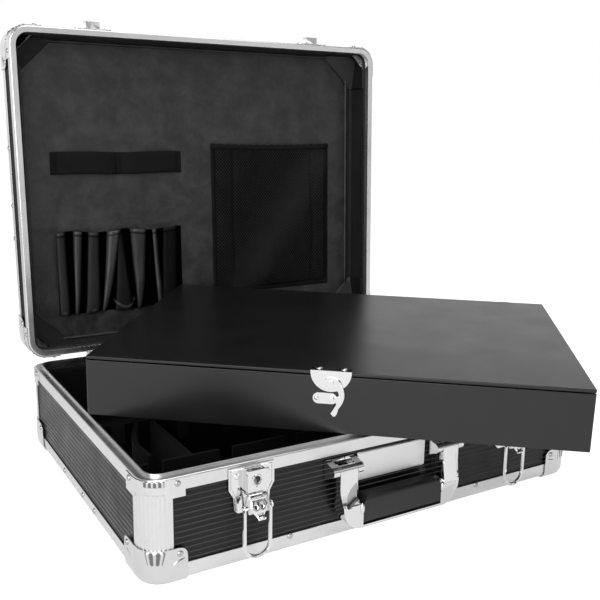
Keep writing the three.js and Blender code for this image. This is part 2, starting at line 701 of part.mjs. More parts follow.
/** Wire bail: two legs and a round end, its tips turned in through the lever's cheeks. */
function latchBail(x) {
  const leg = LEVER_W / 2 + SEAT + BAIL_WIRE;
  const tip = leg - BAIL_WIRE - 2.4;
  const bend = 1.6;
  const [y, z] = onLever(BAIL_AXIS.along, BAIL_AXIS.over);
  const low = z - BAIL_L + leg;
  const path = new THREE.CurvePath();
  const v = (a, b) => new THREE.Vector3(x + a, y, b);
  path.add(new THREE.LineCurve3(v(tip, z), v(leg - bend, z)));
  path.add(new THREE.QuadraticBezierCurve3(v(leg - bend, z), v(leg, z), v(leg, z - bend)));
  path.add(new THREE.LineCurve3(v(leg, z - bend), v(leg, low)));
  const k = leg * 0.5523;
  path.add(new THREE.CubicBezierCurve3(v(leg, low), v(leg, low - k), v(k, low - leg), v(0, low - leg)));
  path.add(new THREE.CubicBezierCurve3(v(0, low - leg), v(-k, low - leg), v(-leg, low - k), v(-leg, low)));
  path.add(new THREE.LineCurve3(v(-leg, low), v(-leg, z - bend)));
  path.add(new THREE.QuadraticBezierCurve3(v(-leg, z - bend), v(-leg, z), v(-leg + bend, z)));
  path.add(new THREE.LineCurve3(v(-leg + bend, z), v(-tip, z)));
  const wire = new THREE.Shape().absarc(0, 0, BAIL_WIRE, 0, Math.PI * 2, false);
  return new THREE.ExtrudeGeometry(wire, { steps: 39, curveSegments: 4, bevelEnabled: false, extrudePath: path });
}

/** Keeper on the front of the shut lid: a plate with a hook that the bail drops behind. */
function latchKeeper(x) {
  const back = FRONT - SEAT;
  const low = LID_RIM_Z + 2;
  const plate = alongY(rounded(x - KEEPER_W / 2, low, x + KEEPER_W / 2, low + KEEPER_H, 4), back - PLATE_T, back);
  const z = low + 4;
  const hook = outline([
    [back - 0.5, z],
    [FRONT - KEEPER_OUT, z],
    [FRONT - KEEPER_OUT, z + 6.5],
    [FRONT - KEEPER_OUT + 1.6, z + 6.5],
    [FRONT - KEEPER_OUT + 1.6, z + 1.6],
    [back - 0.5, z + 1.6],
  ]);
  return join(plate, alongX(hook, x - KEEPER_HOOK_W / 2, x + KEEPER_HOOK_W / 2));
}

function makeLatches() {
  for (const [side, x] of [['left', -LATCH_X], ['right', LATCH_X]]) {
    chrome(`latch_plate_${side}`, latchPlate(x));
    chrome(`latch_lever_${side}`, latchLever(x));
    chrome(`latch_bail_${side}`, latchBail(x));
  }
}

/** Handle bracket: a plate with two ears and the axle between them. */
function handleBracket(x) {
  const { out, z } = HANDLE_AXIS;
  const half = ARM_W / 2 + SEAT + EAR_T;
  const back = PANEL_FRONT - SEAT;
  const ear = new THREE.Shape();
  ear.moveTo(back, z + BRACKET.above);
  ear.lineTo(FRONT - out + 1, z + BARREL_R);
  ear.absarc(FRONT - out, z, BARREL_R, Math.PI / 2, Math.PI * 1.5, false);
  ear.lineTo(back, z - BRACKET.below);
  const ears = [-1, 1].map((side) => {
    const ends = [x + side * half, x + side * (half - EAR_T)].sort((a, b) => a - b);
    return alongX(ear, ends[0], ends[1]);
  });
  const foot = rounded(x - half, z - BRACKET.below, x + half, z + BRACKET.above, 1.5);
  const axle = barX(AXLE_R, x - half + 0.5, x + half - 0.5, FRONT - out, z);
  return join(alongY(foot, back - PLATE_T, back), ...ears, axle);
}

/** Cast handle: two arms that hold the grip, and the bar under it, one U from pivot to pivot. */
function handleStrap() {
  const { out, z } = HANDLE_AXIS;
  const outer = HANDLE_SPAN + ARM_W / 2;
  const inner = HANDLE_SPAN - ARM_W / 2;
  const hold = GRIP_L / 2 + SEAT;
  const low = HANDLE_LOW;
  const foot = outer - ARM_TAPER;
  const shoulder = low + HANDLE_BAR + GRIP_H - GRIP_R;
  const side = (sign) => [
    [sign * outer, z + 10],
    [sign * outer, low + 34],
    ...arc(foot - 20, low + 20, 20, 0, -90, 6).map(([a, b]) => [sign * a, b]),
  ];
  const within = (sign) => [[sign * inner, z + 10], [sign * inner, shoulder + 5], [sign * (inner - 1.4), shoulder + 3.4], [sign * hold, shoulder + 1], [sign * hold, low + HANDLE_BAR]];
  const front = outline([...side(-1), ...side(1).reverse(), ...within(1), ...within(-1).reverse()]);
  const y = FRONT - out;
  const middle = FRONT - GRIP_OUT;
  const deep = HANDLE_DEPTH / 2;
  const profile = new THREE.Shape();
  profile.moveTo(y - BARREL_R, z);
  profile.lineTo(y - BARREL_R, z - 14);
  profile.quadraticCurveTo(y - BARREL_R - 0.5, z - 22, middle - deep, low + 22);
  profile.lineTo(middle - deep, low + 2);
  profile.quadraticCurveTo(middle - deep, low, middle - deep + 2, low - 1);
  profile.lineTo(middle + deep - 2, low - 1);
  profile.quadraticCurveTo(middle + deep, low, middle + deep, low + 2);
  profile.lineTo(middle + deep, low + 20);
  profile.quadraticCurveTo(y + BARREL_R - 2, z - 26, y + BARREL_R - 2.4, z - 14);
  profile.lineTo(y + BARREL_R - 2.4, z - 3);
  profile.lineTo(y + BARREL_R, z);
  profile.absarc(y, z, BARREL_R, 0, Math.PI, false);
  const body = common(alongX(profile, -outer, outer, 6), alongY(front, y - HANDLE_DEPTH, y + HANDLE_DEPTH));
  const bore = barX(AXLE_R + RUN, -outer - 1, outer + 1, y, z);
  const drop = (sign) => {
    const shape = new THREE.Shape();
    const x = (a) => sign * (inner - a);
    shape.moveTo(x(-1), z - 11);
    shape.quadraticCurveTo(x(-11), z - 17, x(-13), z - 28);
    shape.quadraticCurveTo(x(-13.4), z - 34, x(-8), z - 31);
    shape.quadraticCurveTo(x(-4), z - 27, x(1), z - 26);
    return alongY(shape, y - HANDLE_DEPTH, y - BARREL_R + 1, 5);
  };
  return cut(body, bore, drop(-1), drop(1));
}

/** Moulded grip that sits in the cast U. */
function handleGrip() {
  const end = GRIP_L / 2;
  const low = HANDLE_LOW + HANDLE_BAR + SEAT;
  const high = low + GRIP_H;
  const front = new THREE.Shape();
  front.moveTo(-end, low);
  front.lineTo(end, low);
  front.absarc(end - GRIP_R, high - GRIP_R, GRIP_R, 0, Math.PI / 2, false);
  front.lineTo(-end + GRIP_R, high);
  front.absarc(-end + GRIP_R, high - GRIP_R, GRIP_R, Math.PI / 2, Math.PI, false);
  const y = FRONT - GRIP_OUT;
  const section = rounded(y - GRIP_DEPTH / 2, low - 1, y + GRIP_DEPTH / 2, high, 5);
  return common(alongY(front, y - GRIP_DEPTH, y + GRIP_DEPTH, 6), alongX(section, -end, end, 5));
}

function namePlate() {
  const { w, h, low, t } = NAME_PLATE;
  const back = PANEL_FRONT - SEAT;
  return alongY(rounded(-w / 2, low, w / 2, low + h, 1.2), back - t, back, 3);
}

function makeHandle() {
  chrome('handle_bracket_left', handleBracket(-HANDLE_SPAN));
  chrome('handle_bracket_right', handleBracket(HANDLE_SPAN));
  chrome('handle_strap', handleStrap());
  piece('handle_grip', handleGrip(), 0x1a1a1b, 0.6, 0);
  aluminium('name_plate', namePlate());
}

/** A band sewn down in loops: rise(t) is its stand-off along it, t from 0 to 1. */
function loopedBand({ left, right, low, high, t }, steps, rise) {
  const back = LID_LINING_Z - SEAT;
  const line = (offset) =>
    Array.from({ length: steps + 1 }, (_, i) => [
      left + ((right - left) * i) / steps,
      back - offset - rise(i / steps),
    ]);
  const shape = outline([...line(0), ...line(t).reverse()]);
  return alongY(shape, BACK - high, BACK - low);
}

/** Elastic strap, stitched at its ends and middle. */
function elasticStrap() {
  const edge = STRAP.tab / (STRAP.right - STRAP.left);
  return loopedBand(STRAP, 32, (s) => {
    const half = ((s * 2) % 1) * (s < 1 ? 1 : 0);
    const way = (half - edge * 2) / (1 - edge * 4);
    return way <= 0 || way >= 1 ? 0 : STRAP.bulge * Math.min(1, Math.sin(Math.PI * way) * 2.2);
  });
}

/** Row of tool loops, pinched down between each two. */
function toolPocket() {
  const width = TOOLS.right - TOOLS.left;
  const looped = width - TOOLS_HEM.left - TOOLS_HEM.right;
  return loopedBand(TOOLS, 77, (s) => {
    const way = ((s * width - TOOLS_HEM.left) / looped) * TOOLS.loops;
    return way <= 0 || way >= TOOLS.loops ? 0 : TOOLS.bulge * Math.sqrt(Math.sin(Math.PI * (way % 1)));
  });
}

/** Net pocket: diamonds in a sewn border, bellied out so that its mouth stands open at the top. */
function netPocket() {
  const { left, right, low, high, bulge, t } = NET;
  const width = right - left - 2 * NET_SIDE;
  const tall = high - low - NET_HEM - NET_SIDE;
  const dx = width / NET_COLUMNS;
  const dy = tall / NET_ROWS;
  const topY = BACK - high;
  const lowY = BACK - low;
  const border = [];
  for (let i = 0; i <= NET_COLUMNS; i += 1) border.push([left + ((right - left) * i) / NET_COLUMNS, topY]);
  for (let i = 0; i <= NET_ROWS; i += 1) border.push([right, topY + ((lowY - topY) * (i + 0.5)) / (NET_ROWS + 1)]);
  for (let i = NET_COLUMNS; i >= 0; i -= 1) border.push([left + ((right - left) * i) / NET_COLUMNS, lowY]);
  for (let i = NET_ROWS; i >= 0; i -= 1) border.push([left, topY + ((lowY - topY) * (i + 0.5)) / (NET_ROWS + 1)]);
  const shape = outline(border);
  const a = dx / 2 - NET_STRAND / 2;
  const b = dy / 2 - NET_STRAND / 2;
  const hole = (x, y) => new THREE.Path([[x - a, y], [x, y - b], [x + a, y], [x, y + b]].map((p) => new THREE.Vector2(...p)));
  for (let r = 0; r < NET_ROWS; r += 1)
    for (let c = 0; c < NET_COLUMNS; c += 1) {
      const x = left + NET_SIDE + (c + 0.5) * dx;
      const y = topY + NET_HEM + (r + 0.5) * dy;
      shape.holes.push(hole(x, y));
      if (r + 1 < NET_ROWS && c + 1 < NET_COLUMNS) shape.holes.push(hole(x + dx / 2, y + dy / 2));
    }
  const sheet = alongZ(shape, 0, t);
  const place = sheet.getAttribute('position');
  for (let i = 0; i < place.count; i += 1) {
    const across = (place.getX(i) - left) / (right - left);
    const down = (place.getY(i) - topY) / (lowY - topY);
    const belly = Math.min(1, Math.sin(Math.PI * across) * 2.5) * Math.min(1, (1 - down) * 5);
    place.setZ(i, LID_LINING_Z - SEAT - place.getZ(i) - bulge * belly);
  }
  return turnedOut(sheet);
}

/** Turns each face of a mirrored geometry round. */
function turnedOut(geometry) {
  const flat = geometry.index ? geometry.toNonIndexed() : geometry;
  const bare = new THREE.BufferGeometry();
  const source = flat.getAttribute('position');
  const positions = [];
  for (let i = 0; i < source.count; i += 3)
    for (const k of [0, 2, 1]) positions.push(source.getX(i + k), source.getY(i + k), source.getZ(i + k));
  bare.setAttribute('position', new THREE.Float32BufferAttribute(positions, 3));
  return bare;
}

/** The lid's pieces, made shut and then turned open about the hinge axis. */
function makeLid() {
  const lid = [
    aluminium('lid_rim_frame', toLid(rimFrame(LID_H, false))),
    aluminium('lid_edge_frame', toLid(edgeFrame(LID_H))),
    facing('lid_top_panel', toLid(floorBoard())),
    cloth('lid_lining', toLid(lining(LID_H))),
    chrome('lid_cap_front_left', toLid(cornerCap(1))),
    chrome('lid_cap_front_right', toLid(cornerCap(0))),
    chrome('lid_cap_back_left', toLid(cornerCap(2))),
    chrome('lid_cap_back_right', toLid(cornerCap(3))),
    chrome('lid_hinge_leaf_left', hingeLeaf(-HINGE_X, false)),
    chrome('lid_hinge_leaf_right', hingeLeaf(HINGE_X, false)),
    chrome('latch_keeper_left', latchKeeper(-LATCH_X)),
    chrome('latch_keeper_right', latchKeeper(LATCH_X)),
    vinyl('elastic_strap', elasticStrap()),
    vinyl('tool_pocket', toolPocket()),
    piece('net_pocket', netPocket(), 0x0e0f10, 0.8, 0),
  ];
  const boards = sideBoards(LID_H);
  for (const [name, side] of [['front', 'back'], ['back', 'front'], ['left', 'left'], ['right', 'right']])
    lid.push(facing(`lid_${name}_panel`, toLid(boards[side])));
  const open = new THREE.Matrix4().makeRotationX(THREE.MathUtils.degToRad(-LID_OPEN));
  for (const mesh of lid)
    mesh.geometry.translate(0, -AXIS_Y, -AXIS_Z).applyMatrix4(open).translate(0, AXIS_Y, AXIS_Z);
}

function makeHinges() {
  chrome('base_hinge_leaf_left', hingeLeaf(-HINGE_X, true));
  chrome('base_hinge_leaf_right', hingeLeaf(HINGE_X, true));
}

// The inner box is made square to the axes with its underside at zero, and then laid in place.

function boxTray() {
  const x = BOX_W / 2;
  const y = BOX_D / 2;
  const inner = [x - BOX_WALL, y - BOX_WALL];
  const room = block(-inner[0], -inner[1], BOX_FLOOR, inner[0], inner[1], BOX_H);
  return cut(alongZ(rounded(-x, -y, x, y, 1.5), 0, BOX_TRAY_H, 3), room);
}

function boxLid() {
  const x = BOX_W / 2;
  const y = BOX_D / 2;
  return alongZ(rounded(-x, -y, x, y, 1.5), BOX_H - BOX_PANEL, BOX_H, 3);
}

/** A leaf of one of the box's small hinges: the tray's has the pin. */
function boxHingeLeaf(x, below) {
  const y0 = BOX_D / 2 + SEAT;
  const axisY = y0 + BOX_KNUCKLE_R;
  const axisZ = BOX_TRAY_H + BOX_GROOVE / 2;
  const end = BOX_HINGE_L / 2;
  const inner = BOX_HINGE_L / 4;
  const clear = BOX_KNUCKLE_R + RUN;
  if (below) {
    const leaf = block(x - end, y0, axisZ - BOX_LEAF, x + end, y0 + BOX_LEAF_T, axisZ - clear);
    const knuckles = [[x - end, x - inner - RUN], [x + inner + RUN, x + end]].flatMap(([x0, x1]) => [
      barX(BOX_KNUCKLE_R, x0, x1, axisY, axisZ, 12),
      block(x0, y0, axisZ - clear - 1, x1, y0 + BOX_LEAF_T, axisZ),
    ]);
    return join(leaf, ...knuckles, barX(BOX_PIN_R, x - end, x + end, axisY, axisZ, 12));
  }
  const leaf = block(x - end, y0, axisZ + clear, x + end, y0 + BOX_LEAF_T, BOX_H - 0.6);
  const neck = block(x - inner, y0, axisZ, x + inner, y0 + BOX_LEAF_T, axisZ + clear + 1);
  const knuckle = barX(BOX_KNUCKLE_R, x - inner, x + inner, axisY, axisZ, 12);
  return cut(join(leaf, neck, knuckle), barX(BOX_PIN_R + RUN, x - end, x + end, axisY, axisZ, 12));
}

/** Half-round hasp: a tab screwed on the box's lid, folded down over the front, with the hook's pivot. */
function boxHasp() {
  const face = -BOX_D / 2 - SEAT;
  const top = BOX_H + SEAT;
  const half = new THREE.Shape();
  half.moveTo(-HASP_R, top + HASP_T);
  half.lineTo(-HASP_R, top);
  half.absarc(0, top, HASP_R, Math.PI, Math.PI * 2, false);
  half.lineTo(HASP_R, top + HASP_T);
  const front = alongY(half, face - HASP_T, face, 10);
  const tab = alongZ(
    rounded(-HASP_R, face - HASP_T, HASP_R, face + HASP_TAB, 0.9),
    top,
    top + HASP_T,
  );
  const pivot = barY(1.5, face - HASP_T - SEAT - HOOK_T - 1, face - 0.4, 0, HOOK_AXIS_Z);
  const head = barY(2.8, face - HASP_T - 2 * SEAT - HOOK_T - 1.2, face - HASP_T - 2 * SEAT - HOOK_T, 0, HOOK_AXIS_Z);
  return join(front, tab, pivot, head);
}

/** The swinging hook: a disc on the pivot, an arm past the catch's pin, a nose and a finger tail. */
function boxHook() {
  const face = -BOX_D / 2 - SEAT - HASP_T - SEAT;
  const z = HOOK_AXIS_Z;
  const nose = CATCH.pinX + CATCH.pin + HOOK_RUN;
  const arm = new THREE.Shape();
  arm.moveTo(0, z + HOOK_DISC_R);
  arm.quadraticCurveTo(8.8, z + 5, 11.4, z - 5);
  arm.quadraticCurveTo(13.4, z - 12, 9.8, z - 18.4);
  arm.lineTo(7.2, z - 22.5);
  arm.quadraticCurveTo(6.2, z - 29.4, 3.2, z - 29.2);
  arm.lineTo(0.8, z - 26.6);
  arm.quadraticCurveTo(3.6, z - 22, 5.6, z - 18);
  arm.lineTo(nose, z - 15.6);
  arm.lineTo(nose, z - 12.2);
  arm.lineTo(7.4, z - 10.2);
  arm.quadraticCurveTo(7.6, z - 6, 3.2, z - HOOK_DISC_R * 0.8);
  arm.lineTo(-2, z - HOOK_DISC_R * 0.8);
  const disc = barY(HOOK_DISC_R, face - HOOK_T, face, 0, z, 20);
  const bore = barY(1.5 + RUN, face - HOOK_T - 1, face + 1, 0, z);
  return cut(join(alongY(arm, face - HOOK_T, face, 5), disc), bore);
}

/** Oval catch plate on the tray, with the pin that the hook's nose closes on. */
function boxCatch() {
  const face = -BOX_D / 2 - SEAT;
  const { x, z, w, h, pin, pinX } = CATCH;
  const oval = rounded(x - w / 2, z - h / 2, x + w / 2, z + h / 2, h / 2 - 0.1);
  const stud = barY(pin, face - HASP_T - SEAT - HOOK_T - 1, face - 0.4, pinX, z);
  return join(alongY(oval, face - 0.8, face, 5), stud);
}

/** How far the box leans back: from the base's front rim up to the near edge of the lid's lower wall. */
function boxLean() {
  const open = THREE.MathUtils.degToRad(LID_OPEN);
  const wall = AXIS_OUT + LINING_IN + SEAT;
  const deep = RIM_LEG + SEAT;
  const y = AXIS_Y - Math.cos(open) * wall + Math.sin(open) * deep;
  const z = AXIS_Z + Math.sin(open) * wall + Math.cos(open) * deep;
  return Math.atan2(z - BOX_Z, y - FRONT);
}

function makeBox() {
  const box = [
    leatherette('box_tray', boxTray()),
    leatherette('box_lid', boxLid()),
    piece('box_hinge_tray_left', boxHingeLeaf(-BOX_HINGE_X, true), 0x2c2c2e, 0.4, 0.8),
    piece('box_hinge_tray_right', boxHingeLeaf(BOX_HINGE_X, true), 0x2c2c2e, 0.4, 0.8),
    piece('box_hinge_lid_left', boxHingeLeaf(-BOX_HINGE_X, false), 0x2c2c2e, 0.4, 0.8),
    piece('box_hinge_lid_right', boxHingeLeaf(BOX_HINGE_X, false), 0x2c2c2e, 0.4, 0.8),
    chrome('box_hasp', boxHasp()),
    chrome('box_hook', boxHook()),
    chrome('box_catch', boxCatch()),
  ];
  const turn = THREE.MathUtils.degToRad(BOX_AT.turn);
  const lean = boxLean();
  for (const mesh of box) {
    mesh.geometry.rotateZ(turn).translate(BOX_AT.x, BOX_AT.y - FRONT, 0);
    mesh.geometry.rotateX(lean).translate(0, FRONT, BOX_Z);
  }
}

makeBase();
makePartitions();
makeHinges();
makeLatches();
makeHandle();
makeLid();
makeBox();

export default root;
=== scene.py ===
import json
import math

import bmesh
import bpy
import numpy as np
from mathutils import Matrix, Vector

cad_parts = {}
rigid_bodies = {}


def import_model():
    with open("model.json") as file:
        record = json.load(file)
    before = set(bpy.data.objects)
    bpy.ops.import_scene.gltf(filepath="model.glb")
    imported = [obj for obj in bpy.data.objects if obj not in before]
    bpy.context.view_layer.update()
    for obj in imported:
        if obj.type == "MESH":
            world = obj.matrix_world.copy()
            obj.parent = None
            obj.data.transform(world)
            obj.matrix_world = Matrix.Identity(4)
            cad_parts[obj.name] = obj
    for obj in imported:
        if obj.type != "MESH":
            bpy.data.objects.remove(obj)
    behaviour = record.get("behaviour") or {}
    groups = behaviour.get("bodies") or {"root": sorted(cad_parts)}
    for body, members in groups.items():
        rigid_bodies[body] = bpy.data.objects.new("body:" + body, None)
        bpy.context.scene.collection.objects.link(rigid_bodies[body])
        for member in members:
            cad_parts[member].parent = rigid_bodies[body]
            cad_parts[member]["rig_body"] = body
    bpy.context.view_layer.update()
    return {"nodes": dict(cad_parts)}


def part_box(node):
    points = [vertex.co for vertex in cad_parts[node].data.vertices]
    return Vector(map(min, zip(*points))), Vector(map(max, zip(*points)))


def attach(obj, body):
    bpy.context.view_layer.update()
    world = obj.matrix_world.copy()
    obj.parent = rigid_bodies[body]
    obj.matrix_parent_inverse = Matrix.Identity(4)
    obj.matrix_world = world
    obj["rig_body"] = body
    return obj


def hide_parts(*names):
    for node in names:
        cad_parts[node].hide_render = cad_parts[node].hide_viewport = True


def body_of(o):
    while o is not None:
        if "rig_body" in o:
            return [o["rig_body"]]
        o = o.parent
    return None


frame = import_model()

NODES = frame["nodes"]

# The view: the case stands open on a pale table and is seen from its front left, a little from above.
# The camera's place, turn and lens were fitted to the case's own edges and corners.
CAMERA_AT = np.array([-0.417541, -0.720981, 0.351636])
LENS_MM, SENSOR_MM = 49.103, 36.0
yaw, pitch, roll = (math.radians(angle) for angle in (30.615, 12.146, 0.738))
ahead = np.array([math.sin(yaw) * math.cos(pitch), math.cos(yaw) * math.cos(pitch), -math.sin(pitch)])
level = np.array([math.cos(yaw), -math.sin(yaw), 0.0])
upright = np.cross(level, ahead)
across = level * math.cos(roll) + upright * math.sin(roll)
upwards = upright * math.cos(roll) - level * math.sin(roll)


def turn_to(obj, right, up, place):
    """Sets an object's axes: x to right, y to up and z to their cross product, at a place."""
    columns = np.column_stack([right, up, np.cross(right, up), place])
    obj.matrix_world = Matrix([*columns.tolist(), (0, 0, 0, 1)])


def linked(obj):
    bpy.context.scene.collection.objects.link(obj)
    return obj


camera = linked(bpy.data.objects.new("camera", bpy.data.cameras.new("camera")))
camera.data.lens, camera.data.sensor_width = LENS_MM, SENSOR_MM
camera.data.sensor_fit = "HORIZONTAL"
camera.data.clip_start, camera.data.clip_end = 0.05, 60
turn_to(camera, across, upwards, CAMERA_AT)
bpy.context.scene.camera = camera
bpy.context.scene.view_settings.view_transform = "Standard"


# The table and the light: a pale table in a white room, whose own light is soft. The camera sees the room
# white. Metal mirrors it as in a studio: white at eye level, with a greyer ceiling, dark stands beside the
# lamps, and a clear backdrop behind the case.
def linear(value):
    """An sRGB hex value made linear: each channel to the power 2.4, above the curve's straight foot."""
    channels = [int(value[at:at + 2], 16) / 255 for at in (1, 3, 5)]
    return [c / 12.92 if c <= 0.04045 else ((c + 0.055) / 1.055) ** 2.4 for c in channels] + [1.0]


def node(tree, kind, links=(), **settings):
    """Adds one node: settings are its own, and links gives its sockets a value or another node's output."""
    made = tree.nodes.new("ShaderNode" + kind)
    for name, value in settings.items():
        setattr(made, name, value)
    for socket, value in dict(links).items():
        if isinstance(value, bpy.types.NodeSocket):
            tree.links.new(value, made.inputs[socket])
        else:
            made.inputs[socket].default_value = value
    return made


def finish(name, colour, roughness, metallic=0.0, **sockets):
    """A material: its tree, with a Principled shader of plain values, on to which the patterns are linked."""
    material = bpy.data.materials.new(name)
    material.use_nodes = True
    shader = material.node_tree.nodes["Principled BSDF"]
    values = {"Base Color": linear(colour), "Roughness": roughness, "Metallic": metallic}
    values.update({socket.replace("_", " "): value for socket, value in sockets.items()})
    for socket, value in values.items():
        shader.inputs[socket].default_value = value
    return material, material.node_tree, shader


world = bpy.data.worlds.new("white_room")
bpy.context.scene.world = world
world.use_nodes = True
room = world.node_tree
room.nodes.clear()
ray = node(room, "LightPath")
way = node(room, "TexCoord").outputs["Generated"]
height = node(room, "SeparateXYZ", {0: way}).outputs["Z"]
depth = node(room, "SeparateXYZ", {0: way}).outputs["Y"]
ceiling = node(room, "MapRange", {0: height, 1: 0.24, 2: 0.66, 3: 1.0, 4: 0.14},
               interpolation_type="SMOOTHSTEP")
stands = node(room, "TexNoise", {"Vector": way, "Scale": 4.2, "Detail": 1.0, "Roughness": 0.4})
gaps = node(room, "MapRange", {0: stands.outputs[0], 1: 0.46, 2: 0.54, 3: 0.06, 4: 1.0},
            interpolation_type="SMOOTHSTEP")
backdrop = node(room, "MapRange", {0: depth, 1: 0.0, 2: 0.35, 3: 0.0, 4: 1.0})
clear = node(room, "Math", {0: gaps.outputs[0], 1: backdrop.outputs[0]}, operation="MAXIMUM")
shine = node(room, "Math", {0: ceiling.outputs[0], 1: clear.outputs[0]}, operation="MULTIPLY")
soft = node(room, "Background", {"Color": (1, 1, 1, 1), "Strength": 0.34})
mirrored = node(room, "Background", {"Color": (1, 1, 1, 1), "Strength": shine.outputs[0]})
white = node(room, "Background", {"Color": (1, 1, 1, 1), "Strength": 1.0})
glossy = node(room, "MixShader", {0: ray.outputs["Is Glossy Ray"], 1: soft.outputs[0],
                                  2: mirrored.outputs[0]})
seen = node(room, "Math", {0: ray.outputs["Is Camera Ray"], 1: ray.outputs["Is Transmission Ray"]},
            operation="MAXIMUM")
mixed = node(room, "MixShader", {0: seen.outputs[0], 1: glossy.outputs[0], 2: white.outputs[0]})
node(room, "OutputWorld", {"Surface": mixed.outputs[0]})

bpy.ops.mesh.primitive_plane_add(size=30, location=(0, 0, -0.0006))
table = bpy.context.object
table.name = "table"
paper, tree, shader = finish("white_paper", "#d0d0d0", 0.9, Specular_IOR_Level=0.0)
ray = node(tree, "LightPath")
seen = node(tree, "Math", {0: ray.outputs["Is Camera Ray"], 1: ray.outputs["Is Glossy Ray"]},
            operation="MAXIMUM")
bright = node(tree, "MapRange", {0: ray.outputs["Is Camera Ray"], 3: 0.44, 4: 0.80})
glow = node(tree, "Emission", {"Color": (1, 1, 1, 1), "Strength": bright.outputs[0]})
lit = node(tree, "AddShader", {0: shader.outputs[0], 1: glow.outputs[0]})
sight = node(tree, "MixShader", {0: seen.outputs[0], 1: shader.outputs[0], 2: lit.outputs[0]})
tree.links.new(sight.outputs[0], tree.nodes["Material Output"].inputs["Surface"])
table.data.materials.append(paper)


def light_panel(name, place, aim, width, height, watts):
    """A soft rectangle of light that faces a point: its own -z axis runs from its place to there."""
    lamp = bpy.data.lights.new(name, "AREA")
    lamp.shape, lamp.size, lamp.size_y, lamp.energy = "RECTANGLE", width, height, watts
    back = np.subtract(place, aim) / np.linalg.norm(np.subtract(place, aim))
    side = np.cross((0, 0, 1), back)
    side /= np.linalg.norm(side)
    turn_to(linked(bpy.data.objects.new(name, lamp)), side, np.cross(back, side), place)


light_panel("light_over", (0.1, -0.3, 1.6), (0.05, 0.0, 0.1), 1.2, 1.0, 11)
light_panel("light_left", (-1.2, -1.2, 0.8), (0, 0, 0.15), 1.7, 1.4, 25)
light_panel("light_right", (1.3, -1.8, 1.1), (0, 0, 0.15), 0.9, 1.2, 1.5)


# Aluminium extrusions: the rims, rounded edges and corner posts of the two shells, riveted to the boards'
# edges. Anodising leaves a fine even satin over the faint lines that the die draws along the metal.
def placed(tree, scale=(1, 1, 1)):
    """The place on the object in metres, scaled along its axes."""
    at = node(tree, "TexCoord").outputs["Object"]
    return node(tree, "Mapping", {"Vector": at, "Scale": scale}).outputs[0]


def anodised(name, die_lines):
    """Satin aluminium: die lines about 1 mm apart, drawn out along the metal, and soft dull clouds."""
    material, tree, shader = finish(name, "#cccccc", 0.3, 1.0)
    lines = node(tree, "TexNoise", {"Vector": placed(tree, scale=die_lines), "Scale": 1.0, "Detail": 2})
    cloud = node(tree, "TexNoise", {"Vector": placed(tree), "Scale": 28, "Detail": 4, "Roughness": 0.55})
    rough = node(tree, "MapRange", {0: cloud.outputs[0], 1: 0.3, 2: 0.7, 3: 0.24, 4: 0.38})
    tree.links.new(rough.outputs[0], shader.inputs["Roughness"])
    toned = node(tree, "Mix", {0: cloud.outputs[0], 6: linear("#cacaca"), 7: linear("#e4e4e4")},
                 data_type="RGBA")
    tree.links.new(toned.outputs[2], shader.inputs["Base Color"])
    drawn = node(tree, "Bump", {"Height": lines.outputs[0], "Strength": 0.35, "Distance": 0.0001})
    tree.links.new(drawn.outputs[0], shader.inputs["Normal"])
    return material


BEND, EASED_FROM = math.radians(25), math.radians(30)


def eased(material, width, *names, reshape=None):
    """Copies of CAD nodes that stand for them: doubles merged, flat faces joined, bends of up to 25 degrees
    smooth, and sharper edges eased by a width."""
    for name in names:
        mesh = NODES[name].data.copy()
        work = bmesh.new()
        work.from_mesh(mesh)
        bmesh.ops.remove_doubles(work, verts=work.verts, dist=2e-6)
        bmesh.ops.dissolve_limit(work, angle_limit=math.radians(0.4), verts=work.verts, edges=work.edges)
        if reshape:
            reshape(work.verts)
        work.to_mesh(mesh)
        work.free()
        mesh.materials.clear()
        mesh.materials.append(material)
        mesh.shade_smooth()
        mesh.set_sharp_from_angle(angle=BEND)
        obj = linked(bpy.data.objects.new(name + "_eased", mesh))
        edge = obj.modifiers.new("eased_edges", "BEVEL")
        edge.width, edge.segments = width, 2
        edge.limit_method, edge.angle_limit = "ANGLE", EASED_FROM
        edge.harden_normals = True
        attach(obj, body_of(NODES[name])[0])
        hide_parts(name)


def surface(name, grids, material, body, closed=False, thick=0.0, crease=40, painted_light=None):
    """One mesh from grids of points (rows, columns, 3), where each four neighbours make a face.
    Meeting edges are merged. A closed mesh has its faces turned outwards, and a wall gets its thickness last.
    Values of painted light and shade for the points can be kept as an attribute that a material reads."""
    points, faces, start = [], [], 0
    for grid in grids:
        rows, columns = grid.shape[:2]
        number = start + np.arange(rows * columns).reshape(rows, columns)
        ring = np.stack([number[:-1, :-1], number[:-1, 1:], number[1:, 1:], number[1:, :-1]], -1)
        faces.append(ring.reshape(-1, 4))
        points.append(grid.reshape(-1, 3))
        start += rows * columns
    mesh = bpy.data.meshes.new(name)
    mesh.from_pydata(np.concatenate(points).tolist(), [], np.concatenate(faces).tolist())
    if painted_light is not None:
        marks = mesh.attributes.new("painted_light", "FLOAT", "POINT")
        marks.data.foreach_set("value", painted_light.astype(np.float32).ravel())
    shell = bmesh.new()
    shell.from_mesh(mesh)
    bmesh.ops.remove_doubles(shell, verts=shell.verts, dist=2e-6)
    bmesh.ops.dissolve_degenerate(shell, edges=shell.edges, dist=2e-6)
    if closed:
        bmesh.ops.recalc_face_normals(shell, faces=shell.faces)
    shell.to_mesh(mesh)
    shell.free()
    mesh.materials.append(material)
    mesh.shade_smooth()
    mesh.set_sharp_from_angle(angle=math.radians(crease))
    obj = linked(bpy.data.objects.new(name, mesh))
    if thick:
        wall = obj.modifiers.new("thickness", "SOLIDIFY")
        wall.thickness, wall.offset = thick, 1.0
    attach(obj, body)
    return obj


